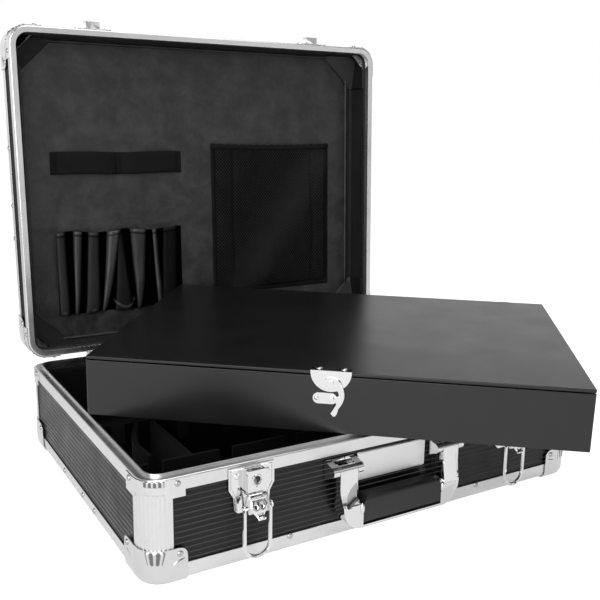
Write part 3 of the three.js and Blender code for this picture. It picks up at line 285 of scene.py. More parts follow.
def together(x, y, z):
    """A grid of points from three coordinates, each spread over the shape that they have together."""
    return np.stack(np.broadcast_arrays(x, y, z), -1)


# The lid is made as the base is, rim up, then turned over and opened 92 degrees about the hinges' axis.
HALF_W, HALF_D, BASE_H, LID_H, CORNER = 0.230, 0.178, 0.089, 0.049, 0.020
AXIS_Y, AXIS_Z, LID_TOP, OPEN = 0.1816, 0.0893, 0.1386, math.radians(92)


def in_base(x, y, z):
    return together(x, y, z)


def in_open_lid(x, y, z):
    """A place in the shell made rim up (x, y, z) is (x, -y, top - z) when shut, and turns about the axis."""
    back, over = -y - AXIS_Y, LID_TOP - z - AXIS_Z
    return together(x, AXIS_Y + math.cos(OPEN) * back + math.sin(OPEN) * over,
                    AXIS_Z - math.sin(OPEN) * back + math.cos(OPEN) * over)


def heading(place, x, y, z):
    """The direction (x, y, z) of a shell or box, once its places are turned as place turns them."""
    return place(x, y, z) - place(0.0, 0.0, 0.0)


def facing_out(grid, as_drawn):
    """A grid as it is drawn, or mirrored in its columns so that its faces look outwards."""
    return grid if as_drawn else grid[:, ::-1]


def round_corner(sx, sy, s, proud):
    """Plan of a shell's corner: s runs to 0 along the front or back, round 90 degrees, and along the side."""
    turn = np.clip(s / CORNER, 0, math.pi / 2)
    before, after = np.minimum(s, 0), np.maximum(s - CORNER * math.pi / 2, 0)
    x = HALF_W - CORNER + (CORNER + proud) * np.sin(turn) + before
    y = HALF_D - CORNER + (CORNER + proud) * np.cos(turn) - after
    return sx * x, sy * y


SHELLS = {"base": (in_base, BASE_H, "base"), "lid": (in_open_lid, LID_H, "lid")}
CORNERS = {"front_left": (-1, -1), "front_right": (1, -1), "back_left": (-1, 1), "back_right": (1, 1)}
base_metal = anodised("satin_anodised_aluminium_base", (15, 15, 900))
lid_metal = anodised("satin_anodised_aluminium_lid", (15, 900, 15))
eased(base_metal, 0.0003, "base_rim_frame", "base_edge_frame")
eased(lid_metal, 0.0003, "lid_rim_frame", "lid_edge_frame")

# The posts' faces are drawn with flat flutes 3.7 mm apart, parted by narrow grooves.
FLUTE, POST_START, POST_END = 0.0037, -0.004, 0.0334
s = np.linspace(POST_START, POST_END, 101)
groove = np.exp(-(((s - POST_START) / FLUTE % 1 - 0.5) / 0.16) ** 2)
ends = np.clip(np.minimum(s - POST_START, POST_END - s) / 0.0004, 0, 1)
for shell, (place, height, rides) in SHELLS.items():
    z = np.linspace(0.0165, height - 0.0125, 2)[:, None]
    posts = []
    for sx, sy in CORNERS.values():
        x, y = round_corner(sx, sy, s, -0.0001 + 0.00034 * (1 - 0.95 * groove) * ends)
        grid = place(x[None, :], y[None, :], z)
        posts.append(facing_out(grid, sx * sy > 0))
    metal = base_metal if shell == "base" else lid_metal
    surface(f"{shell}_post_flutes", posts, metal, rides, crease=50)


# Corner caps and clips: steel, pressed in one blow and bright nickel plated. The blow leaves the sheet
# very slightly wavy and folds it into short creases round the corner. Each cap's ears are riveted through.
def plated(name, colour, roughness, wave_mm, depth_mm):
    """Bright plate over pressed or cast metal, whose surface waves by a depth over a length."""
    material, tree, shader = finish(name, colour, roughness, 1.0)
    wave = node(tree, "TexNoise", {"Vector": placed(tree), "Scale": 1000 / wave_mm, "Detail": 2,
                                   "Roughness": 0.4})
    patch = node(tree, "TexNoise", {"Vector": placed(tree), "Scale": 60, "Detail": 5, "Roughness": 0.6})
    rough = node(tree, "MapRange", {0: patch.outputs[0], 1: 0.35, 2: 0.7, 3: roughness, 4: roughness * 1.9})
    tree.links.new(rough.outputs[0], shader.inputs["Roughness"])
    wavy = node(tree, "Bump", {"Height": wave.outputs[0], "Strength": 1.0, "Distance": depth_mm / 1000})
    tree.links.new(wavy.outputs[0], shader.inputs["Normal"])
    return material


def heads(name, spots, outward, radius, rise, material, body, dimple=0.0):
    """Rivet heads: for each spot, a quarter ellipse of a radius and a rise turned about the outward line,
    with an optional dimple in its middle, closed by a flat underside that is sunk in the metal."""
    out = np.array(outward, float) / np.linalg.norm(outward)
    side = np.cross(out, (0.3, 0.5, 0.81))
    side /= np.linalg.norm(side)
    other = np.cross(out, side)
    a = np.linspace(0, 2 * math.pi, 21)
    h = np.linspace(0, math.pi / 2, 7)
    r = np.concatenate([[0, 1], np.cos(h)]) * radius
    up = np.concatenate([[-0.0004, -0.0004], rise * np.sin(h)])
    up = up - dimple * np.exp(-((r / radius) / 0.3) ** 2) * (up > 0)
    ring = r[:, None, None] * (np.cos(a)[:, None] * side + np.sin(a)[:, None] * other)
    ring = ring + up[:, None, None] * out
    grids = [np.array(spot) + ring for spot in spots]
    return surface(name, grids, material, body, closed=True, crease=50)


dulled = plated("dulled_aluminium_rivet", "#b4b4b4", 0.16, 3, 0.05)
nickel = plated("bright_nickel_plated_steel", "#d0d0d0", 0.12, 9, 0.20)
for shell, (place, height, rides) in SHELLS.items():
    foot, rising = place(0.0, 0.0, 0.0), heading(place, 0.0, 0.0, 1.0)

    def drawn_up(verts):
        """Raises the caps' upright walls by 6.2 mm, little by little from 9 mm over the foot to 21 mm."""
        for vert in verts:
            over = float(np.dot(np.array(vert.co) - foot, rising))
            vert.co += Vector(rising) * 0.0062 * min(max((over - 0.009) / 0.012, 0), 1)

    eased(nickel, 0.0003, *[f"{shell}_cap_{corner}" for corner in CORNERS], reshape=drawn_up)

# Creases: folds that narrow downwards on the cap's bend, and short close ones on the rim clip's. The folds are
# painted darker, as painted shade: the attribute is 0 there and 1 on the ridges.
creased, tree, shader = finish("nickel_plated_steel_painted_shade_in_folds", "#c8c8c8", 0.2, 1.0)
ridge = node(tree, "Attribute", attribute_name="painted_light").outputs["Fac"]
specks = node(tree, "TexNoise", {"Vector": placed(tree), "Scale": 700, "Detail": 2})
mixed = node(tree, "Math", {0: specks.outputs[0], 1: 0.4, 2: ridge}, operation="MULTIPLY_ADD")
even = node(tree, "MapRange", {0: mixed.outputs[0], 1: 0.35, 2: 1.0, 3: 0.0, 4: 1.0})
toned = node(tree, "Mix", {0: even.outputs[0], 6: linear("#747474"), 7: linear("#d0d0d0")}, data_type="RGBA")
tree.links.new(toned.outputs[2], shader.inputs["Base Color"])
CAP_METAL, CLIP_METAL = 0.0015, 0.0012
CAP_FOLDS, CLIP_FOLDS = 6.0, 9.0
CREASE_START = 0.0020
WAYS = {"front": (0.0, -1.0, 0.0), "back": (0.0, 1.0, 0.0),
        "left": (-1.0, 0.0, 0.0), "right": (1.0, 0.0, 0.0)}
for shell, (place, height, rides) in SHELLS.items():
    creases, ridges, bosses = [], [], []
    # lower and upper end, number of folds, their depth, the metal's thickness, and their length round
    bands = ((0.0185, 0.0306, CAP_FOLDS, 0.0007, CAP_METAL, 0.0180),
             (height - 0.0060, height - 0.0008, CLIP_FOLDS, 0.0005, CLIP_METAL, 0.0172))
    for sx, sy in CORNERS.values():
        for low, high, folds, depth, lift, far in bands:
            s = np.linspace(CREASE_START, far + CREASE_START, 97)[None, :]
            t = np.linspace(0, 1, 17)[:, None]
            middle = (s - CREASE_START - far / 2) / (far / 2)
            within = middle / (0.62 + 0.34 * t if folds == CAP_FOLDS else 0.96 + 0 * t)
            window = np.clip((1 - np.abs(within)) / 0.12, 0, 1)
            window = window * np.clip(6 * t, 0, 1) * np.clip(9 * (1 - t), 0, 1)
            fold = 0.5 - 0.5 * np.cos(np.pi * folds * (within + 1) / 2)
            proud = lift - 0.00012 + (depth * fold + 0.00016) * window
            x, y = round_corner(sx, sy, s, proud)
            grid = place(x, y, low + (high - low) * t)
            # painted shade: 0 in each fold's hollow, 1 on the ridges and beyond the folds
            ridge = np.clip(1 - window * 1.3 * (1 - fold ** 1.2), 0, 1)
            creases.append(facing_out(grid, sx * sy > 0))
            ridges.append(facing_out(ridge, sx * sy > 0))
        # a long low boss beside each rivet on the ears, first on the front or back and then on the side
        u, v = np.meshgrid(np.linspace(-1, 1, 13), np.linspace(-1, 1, 9))
        bulge = 0.0012 * np.clip(1 - u ** 2 - v ** 2, 0, 1) ** 0.6 - 0.0003
        slanting = 0.0190 + 0.0024 * v - 0.0022 * u
        along, over = HALF_W - 0.0274 + 0.0062 * u, HALF_D + CAP_METAL + bulge
        bosses.append(facing_out(place(sx * along, sy * over, slanting), sx * sy < 0))
        along, over = HALF_D - 0.0345 + 0.0062 * u, HALF_W + CAP_METAL + bulge
        bosses.append(facing_out(place(sx * over, sy * along, slanting), sx * sy > 0))
    surface(f"{shell}_corner_creases", creases, creased, rides, crease=60,
            painted_light=np.concatenate([r.ravel() for r in ridges]))
    surface(f"{shell}_cap_bosses", bosses, nickel, rides, crease=60)
    # a rivet through each ear: its place along the width, along the depth and up, on the caps and on the clips
    ears = ((0.2015, 0.1415, 0.0262), (0.2025, 0.1515, height - 0.0044))
    for side, way in WAYS.items():
        out_x, out_y = way[0] * (HALF_W + CAP_METAL), way[1] * (HALF_D + CAP_METAL)
        spots = [(out_x or end * wide, out_y or end * deep, z) for wide, deep, z in ears for end in (-1, 1)]
        heads(f"{shell}_cap_rivets_{side}", place(*np.transpose(spots)), heading(place, *way),
              0.0026, 0.0015, dulled, rides, 0.0009)

# rivets along each shell's edge extrusion, through it into the boards
EDGE_RIVETS = {"front": [(-0.103, -HALF_D, 0.0145), (0.103, -HALF_D, 0.0145)],
               "back": [(-0.103, HALF_D, 0.0112), (0.103, HALF_D, 0.0112)],
               "left": [(-HALF_W, y, 0.0112) for y in (-0.0475, -0.0109, 0.052)],
               "right": [(HALF_W, y, 0.0112) for y in (-0.0475, -0.0109, 0.052)]}
for shell, (place, height, rides) in SHELLS.items():
    for side, way in WAYS.items():
        heads(f"{shell}_edge_rivets_{side}", place(*np.transpose(EDGE_RIVETS[side])), heading(place, *way),
              0.0027, 0.0014, dulled, rides, 0.0008)


# Side boards: fibreboard faced with black rib-embossed foil, whose ribs' upper edges carry a painted
# highlight. The frame holds them at their edges.
def foil():
    """Black PVC foil: a fine pebble grain every 0.6 mm, drawn coarse enough to show, worn spots, and a painted
    highlight: the slanting upper edges of the ribs, which face the light above, are painted paler."""
    material, tree, shader = finish("black_rib_embossed_foil_painted_highlight", "#0d0d0e", 0.34, Specular_IOR_Level=0.3)
    grain = node(tree, "TexVoronoi", {"Vector": placed(tree), "Scale": 1600})
    cloud = node(tree, "TexNoise", {"Vector": placed(tree), "Scale": 30, "Detail": 4})
    rough = node(tree, "MapRange", {0: cloud.outputs[0], 1: 0.3, 2: 0.7, 3: 0.27, 4: 0.42})
    tree.links.new(rough.outputs[0], shader.inputs["Roughness"])
    toned = node(tree, "Mix", {0: cloud.outputs[0], 6: linear("#060607"), 7: linear("#0d0d0e")},
                 data_type="RGBA")
    bump = node(tree, "Bump", {"Height": grain.outputs[0], "Strength": 0.35, "Distance": 0.0001})
    tree.links.new(bump.outputs[0], shader.inputs["Normal"])
    # painted highlight: faces that slant up towards the light above are painted paler, by their world normal
    facing = node(tree, "SeparateXYZ", {0: node(tree, "NewGeometry").outputs["Normal"]}).outputs["Z"]
    slant = node(tree, "Math", {0: facing, 1: 0.62}, operation="SUBTRACT")
    slant = node(tree, "Math", {0: slant.outputs[0]}, operation="ABSOLUTE")
    edge = node(tree, "MapRange", {0: slant.outputs[0], 1: 0.34, 2: 0.12, 3: 0.0, 4: 1.0})
    rib_edge_painted_highlight = node(tree, "Mix", {0: edge.outputs[0], 6: toned.outputs[2], 7: linear("#4c4c4c")},
                    data_type="RGBA")
    tree.links.new(rib_edge_painted_highlight.outputs[2], shader.inputs["Base Color"])
    return material


eased(foil(), 0.0007, *[f"base_{side}_panel" for side in ("front", "back", "left", "right", "floor")],
      *[f"lid_{side}_panel" for side in ("front", "back", "left", "right", "top")])


# Partitions: thin board wrapped in the same short black cloth as the base's lining. The rows are notched over
# each other, and the one in the left bay is loose and bent.
def nap_cloth():
    """Black short-nap cloth: soft cloudy nap and a fine fibre grain of 0.5 mm, with a little sheen."""
    material, tree, shader = finish("black_short_nap_cloth", "#09090a", 0.95, Sheen_Weight=0.06,
                                    Sheen_Roughness=0.4, Specular_IOR_Level=0.15)
    fibre = node(tree, "TexNoise", {"Vector": placed(tree), "Scale": 2000, "Detail": 3, "Roughness": 0.7})
    nap = node(tree, "TexNoise", {"Vector": placed(tree), "Scale": 45, "Detail": 4})
    toned = node(tree, "Mix", {0: nap.outputs[0], 6: linear("#040405"), 7: linear("#0d0d0e")},
                 data_type="RGBA")
    tree.links.new(toned.outputs[2], shader.inputs["Base Color"])
    bump = node(tree, "Bump", {"Height": fibre.outputs[0], "Strength": 0.5, "Distance": 0.0003})
    tree.links.new(bump.outputs[0], shader.inputs["Normal"])
    return material


cloth = nap_cloth()
eased(cloth, 0.0006, "partition_front_row", "partition_middle_row", "partition_left_bay",
      "partition_centre_bay", "partition_right_bay", "partition_bent")


# Base lining: short-nap cloth glued over thin board, one piece up the walls and over the floor. It rounds
# softly into the corners and lies a little uneven. Its upper edge is tucked under the rim's inner leg.
WALL_IN, FLOOR_UP = 0.0075, 0.009


def rounded_round(half_x, half_y, radius, count):
    """Points round a rounded rectangle, evenly by length: straight, quarter circle, straight, and so on."""
    quarter = radius * math.pi / 2
    sides = np.array([2 * (half_y - radius), quarter, 2 * (half_x - radius), quarter] * 2)
    ends = np.concatenate([[0], np.cumsum(sides)])
    s = np.linspace(0, ends[-1], count + 1)
    side = np.clip(np.searchsorted(ends, s, side="right") - 1, 0, 7)
    t = s - ends[side]
    x, y = np.zeros_like(s), np.zeros_like(s)
    centre = np.array([(1, 1), (-1, 1), (-1, -1), (1, -1)]) * [half_x - radius, half_y - radius]
    for k in range(4):
        straight, bend = side == 2 * k, side == 2 * k + 1
        a = t[bend] / radius + k * math.pi / 2
        x[bend], y[bend] = centre[k][0] + radius * np.cos(a), centre[k][1] + radius * np.sin(a)
        along = np.array([(0, 1), (-1, 0), (0, -1), (1, 0)][k])
        start = centre[k - 1] + radius * np.array([(1, 0), (0, 1), (-1, 0), (0, -1)][k])
        x[straight], y[straight] = start[0] + along[0] * t[straight], start[1] + along[1] * t[straight]
    return x, y


def soft_waves(x, y, size, seed):
    """A smooth uneven field, mostly within 1 of 0: a fifth of the sum of twelve sine waves, each of a random
    direction, a length near size and a phase."""
    draw = np.random.default_rng(seed)
    field = np.zeros_like(x)
    for _ in range(12):
        angle, length = draw.uniform(0, 2 * math.pi), size * draw.uniform(0.6, 1.8)
        phase = draw.uniform(0, 6.28)
        field = field + np.sin(2 * math.pi * (x * math.cos(angle) + y * math.sin(angle)) / length + phase)
    return field / 5


def tray_lining(top, bend, count):
    """The inner skin of a shell: walls that run down from the top, round a small bend and to the middle."""
    half_x, half_y = HALF_W - WALL_IN, HALF_D - WALL_IN
    x, y = rounded_round(half_x, half_y, 0.0125, count)
    drop = np.linspace(0, 1, 14)[:, None]
    walls = together(x, y, top + (FLOOR_UP + bend - top) * drop)
    turn = np.linspace(0, math.pi / 2, 5)[1:, None]
    draw_in = bend * (1 - np.cos(turn))
    curve = together(x * (1 - draw_in / half_x), y * (1 - draw_in / half_y),
                     FLOOR_UP + bend * (1 - np.sin(turn)))
    shrink = np.linspace(1, 0, 60)[1:, None]
    inner_x, inner_y = x * (1 - bend / half_x), y * (1 - bend / half_y)
    flat = together(inner_x * shrink, inner_y * shrink, FLOOR_UP)
    return np.concatenate([walls, curve, flat])


lining = tray_lining(0.0807, 0.004, 260)
wall_share = np.clip((lining[..., 2] - FLOOR_UP) / 0.01, 0, 1)
lining[..., 2] += 0.00018 * soft_waves(lining[..., 0], lining[..., 1], 0.05, 3) * (1 - wall_share)
base_lining = surface("base_lining_cloth", [lining[:, ::-1]], cloth, "base", thick=0.0018)
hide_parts("base_lining")


# Lid lining: black vinyl cloth glued over card on the flat, with its edge turned over a soft roll. The walls
# and the margin round the roll are covered in a plainer cloth, darker of its own and darker still as painted
# shade on the walls, which face away from the light, and a gusset wraps each corner.
AXIS_OUT, LINING_IN = 0.0036, 0.0403


def in_lid(x, up, proud):
    """A place in the open lid: across it, up from its hinge edge, and proud of its flat lining."""
    reach, depth = up + AXIS_OUT, LINING_IN - proud
    y = AXIS_Y - math.cos(OPEN) * reach + math.sin(OPEN) * depth
    z = AXIS_Z + math.sin(OPEN) * reach + math.cos(OPEN) * depth
    return together(x, y, z)


def crinkled_vinyl(name, dark, light, roughness, pebble_mm, depth_mm):
    """Vinyl cloth: leather-like pebbles of 1 mm in a web of fine creases, with paler patches worn by rubbing.
    """
    material, tree, shader = finish(name, dark, roughness)
    warp = node(tree, "TexNoise", {"Vector": placed(tree), "Scale": 120, "Detail": 3})
    at = node(tree, "VectorMath", {0: warp.outputs["Color"], 1: (0.004, 0.004, 0.004)}, operation="MULTIPLY")
    moved = node(tree, "VectorMath", {0: at.outputs[0], 1: placed(tree)}, operation="ADD")
    cell = node(tree, "TexVoronoi", {"Vector": moved.outputs[0], "Scale": 1000 / pebble_mm},
                feature="DISTANCE_TO_EDGE")
    edge = node(tree, "MapRange", {0: cell.outputs["Distance"], 1: 0.0, 2: 0.18, 3: 0, 4: 1})
    cloud = node(tree, "TexNoise", {"Vector": placed(tree), "Scale": 1000 / 28, "Detail": 8,
                                    "Roughness": 0.72, "Distortion": 0.25})
    wear_and_painted_light = node(tree, "MapRange", {0: cloud.outputs[0], 1: 0.40, 2: 0.66, 3: 0.0, 4: 1.0})
    toned = node(tree, "Mix", {0: wear_and_painted_light.outputs[0], 6: linear(dark), 7: linear(light)}, data_type="RGBA")
    tree.links.new(toned.outputs[2], shader.inputs["Base Color"])
    rough = node(tree, "MapRange", {0: cloud.outputs[0], 1: 0.3, 2: 0.7, 3: roughness * 0.85,
                                    4: roughness * 1.15})
    tree.links.new(rough.outputs[0], shader.inputs["Roughness"])
    broad = node(tree, "Bump", {"Height": cloud.outputs[0], "Strength": 0.7, "Distance": 0.0012})
    fine = node(tree, "Bump", {"Height": edge.outputs[0], "Strength": 0.5, "Distance": depth_mm / 1000,
                               "Normal": broad.outputs[0]})
    tree.links.new(fine.outputs[0], shader.inputs["Normal"])
    return material


vinyl = crinkled_vinyl("creased_black_vinyl_cloth", "#131313", "#303030", 0.46, 1.3, 0.10)
wall_cloth = crinkled_vinyl("plain_black_wall_cloth_painted_shade", "#040404", "#090909", 0.8, 0.9, 0.03)
folded = crinkled_vinyl("black_vinyl_cloth_painted_shade", "#09090a", "#131314", 0.5, 1.3, 0.08)

# It is worked out as the base's, rim up, and then turned over into the open lid. On the flat it lies in soft
# waves, and one low fold runs across it above the tool pocket.
ROLL_X, ROLL_Y, ROLL_R = 0.2135, 0.1685, 0.0020
shell = tray_lining(0.0407, 0.003, 300)
x, y, z = shell[..., 0], shell[..., 1], shell[..., 2]
proud = z - FLOOR_UP
flat_share = 1 - np.clip(proud / 0.004, 0, 1)
up = HALF_D - y
fold = np.exp(-((up - 0.1425 - 0.004 * np.sin(x * 14)) / 0.0022) ** 2) * np.clip((-0.02 - x) / 0.03, 0, 1)
bump = 0.00035 * soft_waves(x, up, 0.06, 11) + 0.00025 * soft_waves(x, up, 0.022, 12) + 0.0011 * fold
lid_skin = in_lid(x, up, proud + (np.abs(bump) + 0.0002) * flat_share)
lid_lining = surface("lid_lining_vinyl", [lid_skin], vinyl, "lid", thick=0.0017)
lid_lining.data.materials.append(wall_cloth)
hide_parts("lid_lining")
# the walls and the margin take the darker cloth: partly its own colour, partly painted shade
for face in lid_lining.data.polygons:
    spot = face.center
    rise = (spot.z - AXIS_Z) * math.sin(OPEN) + (AXIS_Y - spot.y) * math.cos(OPEN)
    deep = (spot.y - AXIS_Y) * math.sin(OPEN) + (spot.z - AXIS_Z) * math.cos(OPEN)
    off_flat = abs(spot.x) > ROLL_X or abs(rise - AXIS_OUT - HALF_D) > ROLL_Y
    face.material_index = 1 if off_flat or deep < LINING_IN - 0.002 else 0


def strand(points, out, radius, sides=8, flat=1.0):
    """A tube along a line of points: rings of flat sides, made flatter or fuller along the outward way."""
    a = np.arange(sides + 1) * 2 * math.pi / sides
    step = np.gradient(points, axis=-2)
    step /= np.linalg.norm(step, axis=-1, keepdims=True)
    out = np.asarray(out, float) / np.linalg.norm(out)
    beside = np.cross(step, out)
    beside /= np.linalg.norm(beside, axis=-1, keepdims=True)
    over = np.cross(beside, step)
    ring = beside[..., None, :] * np.cos(a)[:, None] + flat * over[..., None, :] * np.sin(a)[:, None]
    return points[..., None, :] + radius * ring


LID_WAY = np.array([0.0, -math.sin(OPEN), -math.cos(OPEN)])
x, y = rounded_round(ROLL_X, ROLL_Y, 0.012, 400)
line = in_lid(x, HALF_D - y, 0.0006 + 0.00015 * soft_waves(x * 3, y * 3, 0.1, 21))
roll = surface("lid_lining_edge_roll", [strand(line, LID_WAY, ROLL_R)], vinyl, "lid",
               crease=60)

# The gussets: a piece folded into each inner corner, up both walls and out to a slanting edge on the flat,
# smooth, and a little hollow where the walls meet the flat. The right two are a darker copy of the flat's
# vinyl, painted shade, and are paler than the left two, which take the walls' darker cloth as a painted shadow
# of the frame's rim.
GUSSET_X, GUSSET_UP, WALL_TOP, INSET = 0.044, 0.042, 0.0302, 0.0018
for side, sx in (("left", -1), ("right", 1)):
    for end, low in (("lower", 1), ("upper", -1)):
        half_x, half_y, r = HALF_W - WALL_IN - 0.0007, HALF_D - WALL_IN - 0.0007, 0.0118
        straight_y, straight_x = GUSSET_UP - r, GUSSET_X - r
        path = np.linspace(-straight_y, r * math.pi / 2 + straight_x, 41)
        a = np.clip(path / r, 0, math.pi / 2)
        px = half_x - r + r * np.cos(a) - np.maximum(path - r * math.pi / 2, 0)
        py = half_y - r + r * np.sin(a) + np.minimum(path, 0)
        share = np.linspace(0, 1, 41)
        ex = half_x - INSET - (GUSSET_X - INSET) * share
        ey = half_y - INSET - (GUSSET_UP - INSET) * (1 - share)
        grids = []
        t = np.linspace(0, 1, 10)[:, None]
        foot = 0.0006 + 0.36 * np.hypot(ex - px, ey - py)
        wall = (px + 0 * t, py + 0 * t, WALL_TOP + (0.0008 + foot - WALL_TOP) * t)
        t = np.linspace(0, 1, 12)[1:, None]
        flat = (px + (ex - px) * t, py + (ey - py) * t, 0.0008 + foot * (1 - t))
        grid = np.concatenate([in_lid(sx * q[0], HALF_D + (-low) * q[1], q[2]) for q in (wall, flat)])
        # painted shade: a darker copy of the vinyl on the right, and the walls' darker cloth as painted shadow
        # on the left
        gusset = surface(f"lid_gusset_{end}_{side}", [facing_out(grid, sx * low > 0)],
                         folded if sx > 0 else wall_cloth, "lid", thick=0.0006)


# Elastic strap: ribbed black elastic, sewn through the lining at both ends and in the middle, so that it
# makes two loops.
def woven_elastic():
    """Black ribbed elastic: rubber ribs every 1.2 mm along it under a tight thread cover."""
    material, tree, shader = finish("black_ribbed_elastic", "#0c0c0d", 0.8, Specular_IOR_Level=0.2)
    wave = node(tree, "TexWave", {"Vector": placed(tree), "Scale": 1 / 0.0024, "Distortion": 0.0},
                wave_type="BANDS", bands_direction="Z")
    thread = node(tree, "TexNoise", {"Vector": placed(tree), "Scale": 1500, "Detail": 2})
    cover = node(tree, "Bump", {"Height": thread.outputs[0], "Strength": 0.4, "Distance": 0.0001})
    bump = node(tree, "Bump", {"Height": wave.outputs["Fac"], "Strength": 0.5, "Distance": 0.0002,
                               "Normal": cover.outputs[0]})
    toned = node(tree, "Mix", {0: thread.outputs[0], 6: linear("#040404"), 7: linear("#0b0b0b")},
                 data_type="RGBA")
    tree.links.new(toned.outputs[2], shader.inputs["Base Color"])
    tree.links.new(bump.outputs[0], shader.inputs["Normal"])
    return material


elastic = woven_elastic()
strap_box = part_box("elastic_strap")
s = np.linspace(0, 1, 121)
strap_x = strap_box[0].x + (strap_box[1].x - strap_box[0].x) * s
# it lies flat where it is sewn, over a share of 0.038 at each end and 0.019 to both sides of the middle
loop = (s >= 0.038) & (s <= 0.962) & (np.abs(s - 0.5) >= 0.019)
way = np.where(s < 0.5, (s - 0.038) / (0.5 - 0.019 - 0.038), (s - 0.519) / (0.962 - 0.519))
rise = 0.0054 * np.clip(1 - np.abs(2 * np.clip(way, 0, 1) - 1) ** 5, 0, 1) ** 0.6 * loop
across_strap = np.linspace(0.200, 0.2256, 9)[:, None]
strap_grid = in_lid(strap_x[None, :], across_strap + 0.0006 * np.sin(s * 9)[None, :],
                    0.0004 + rise[None, :] + 0 * across_strap)
strap = surface("elastic_strap_woven", [strap_grid], elastic, "lid", thick=0.0012)
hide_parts("elastic_strap")


# Tool pocket: a band of soft shiny vinyl with a hem at the top, sewn down between loops that stand open at
# both ends. The loops have slumped: each leans and narrows its own way. The light on the loops' faces and the
# shadow in the seams are painted.
def pouch():
    """Soft vinyl: glossy painted highlights on the loops' faces over matt black painted shade in the seams, by
    the value that its attribute holds: 0 in shade, about 1 where lit.
    """
    material, tree, shader = finish("soft_shiny_black_vinyl_painted_light", "#121214", 0.3)
    painted_light = node(tree, "Attribute", attribute_name="painted_light").outputs["Fac"]
    toned = node(tree, "Mix", {0: painted_light, 6: linear("#030303"), 7: linear("#3a3a3a")}, data_type="RGBA")
    tree.links.new(toned.outputs[2], shader.inputs["Base Color"])
    rough = node(tree, "MapRange", {0: painted_light, 1: 0.2, 2: 0.9, 3: 0.75, 4: 0.3})
    tree.links.new(rough.outputs[0], shader.inputs["Roughness"])
    gloss = node(tree, "MapRange", {0: painted_light, 1: 0.0, 2: 0.5, 3: 0.0, 4: 0.5})
    tree.links.new(gloss.outputs[0], shader.inputs["Specular IOR Level"])
    grain = node(tree, "TexVoronoi", {"Vector": placed(tree), "Scale": 900}, feature="DISTANCE_TO_EDGE")
    crinkle = node(tree, "TexNoise", {"Vector": placed(tree), "Scale": 160, "Detail": 4, "Roughness": 0.6})
    broad = node(tree, "Bump", {"Height": crinkle.outputs[0], "Strength": 0.5, "Distance": 0.0008})
    fine = node(tree, "Bump", {"Height": grain.outputs["Distance"], "Strength": 0.3, "Distance": 0.0001,
                               "Normal": broad.outputs[0]})
    tree.links.new(fine.outputs[0], shader.inputs["Normal"])
    return material


pouch_vinyl = pouch()
TOOLS_LOW, TOOLS_HIGH = 0.038, 0.134
# left and right side of each loop's face, in mm from the pocket's left edge, at its top and at its foot, how
# far it stands out, and how bright its face is painted, as painted light where the light falls on it
TOP = np.array([(0.0, 9.0), (20, 28.4), (37.8, 48.4), (60, 73.4), (73.6, 77), (88.4, 106), (116.4, 120),
                (130.4, 146)]) / 1000
FOOT = np.array([(0.8, 10.5), (18.5, 21.2), (31, 46), (50.6, 53), (67, 88), (95, 98), (121.5, 126),
                 (127, 143)]) / 1000
LOOP_H = np.array([0.0085, 0.0108, 0.0096, 0.0112, 0.0070, 0.0110, 0.0100, 0.0080])
FACE_PAINTED_LIGHT = np.array([0.44, 0.80, 0.38, 1.0, 0.20, 0.60, 0.85, 0.10])
LEFT_EDGE, WIDE = -0.185, 0.154
u = np.linspace(0, WIDE, 309)[None, :]
t = np.linspace(0, 1, 65)[:, None]
height, painted_light = np.zeros((65, 309)), np.zeros((65, 309))
for top, foot, high, wear_and_painted_light in zip(TOP, FOOT, LOOP_H, FACE_PAINTED_LIGHT):
    left, right = foot[0] + (top[0] - foot[0]) * t ** 0.8, foot[1] + (top[1] - foot[1]) * t ** 0.8
    mid, half = (left + right) / 2, (right - left) / 2 + 0.0016
    mound = np.clip(1 - np.abs((u - mid) / half) ** 4, 0, 1) ** 0.75
    height = np.maximum(height, high * mound * np.clip(half / 0.0062, 0.45, 1))
    # painted light: each face is painted by its value, brightest in a painted highlight along its left edge,
    # with a painted highlight along the hem's top and a line of painted shade under it; the seams between the
    # faces stay at 0, painted shade
    inside = np.clip((u - left + 0.0004) / 0.0009, 0, 1) * np.clip((right - u + 0.0003) / 0.0042, 0, 1)
    rim = 0.75 + 0.55 * np.exp(-((u - left - 0.0004) / 0.0009) ** 2)
    rim = rim - 0.25 * (u - left) / (right - left + 0.001)
    hem_painted_light = 1 - 0.85 * np.exp(-((t - 0.955) / 0.010) ** 2) + 1.3 * np.exp(-((t - 0.99) / 0.010) ** 2)
    painted_light = np.maximum(painted_light, np.clip(wear_and_painted_light * rim * hem_painted_light, 0, 1.2) * inside)
# painted highlights: a curve across the loops' gathered feet near the middle, and a spot at the feet of the
# first and third loops
smile = (u - 0.0785) / 0.0125
foot_painted_highlight = np.exp(-((t - 0.045 - 0.08 * smile ** 2) / 0.012) ** 2) * (np.abs(smile) < 1.05)
painted_light = np.maximum(painted_light, 1.1 * foot_painted_highlight)
for spot in (0.0045, 0.0385):
    painted_light = np.maximum(painted_light, 0.9 * np.exp(-((t - 0.035) / 0.02) ** 2 - ((u - spot) / 0.003) ** 2))
bottom = 1 - 0.35 * np.exp(-t / 0.05)
wobble = 0.00035 * soft_waves(u * 2.5, t * 0.096, 0.03, 31) * np.clip(height / 0.006, 0, 1)
height = height * bottom * (1 - 0.10 * np.exp(-((t - 0.6) / 0.2) ** 2)) + wobble
edge_up = 0.0022 * np.sin(u * 95) * (t - 0.35)
loop_up = TOOLS_LOW + (TOOLS_HIGH - TOOLS_LOW) * t + edge_up
pocket_grid = in_lid(LEFT_EDGE + u, loop_up, 0.0003 + np.maximum(height, 0))
pocket = surface("tool_pocket_vinyl", [pocket_grid], pouch_vinyl, "lid", thick=0.0011,
                 painted_light=painted_light)
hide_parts("tool_pocket")


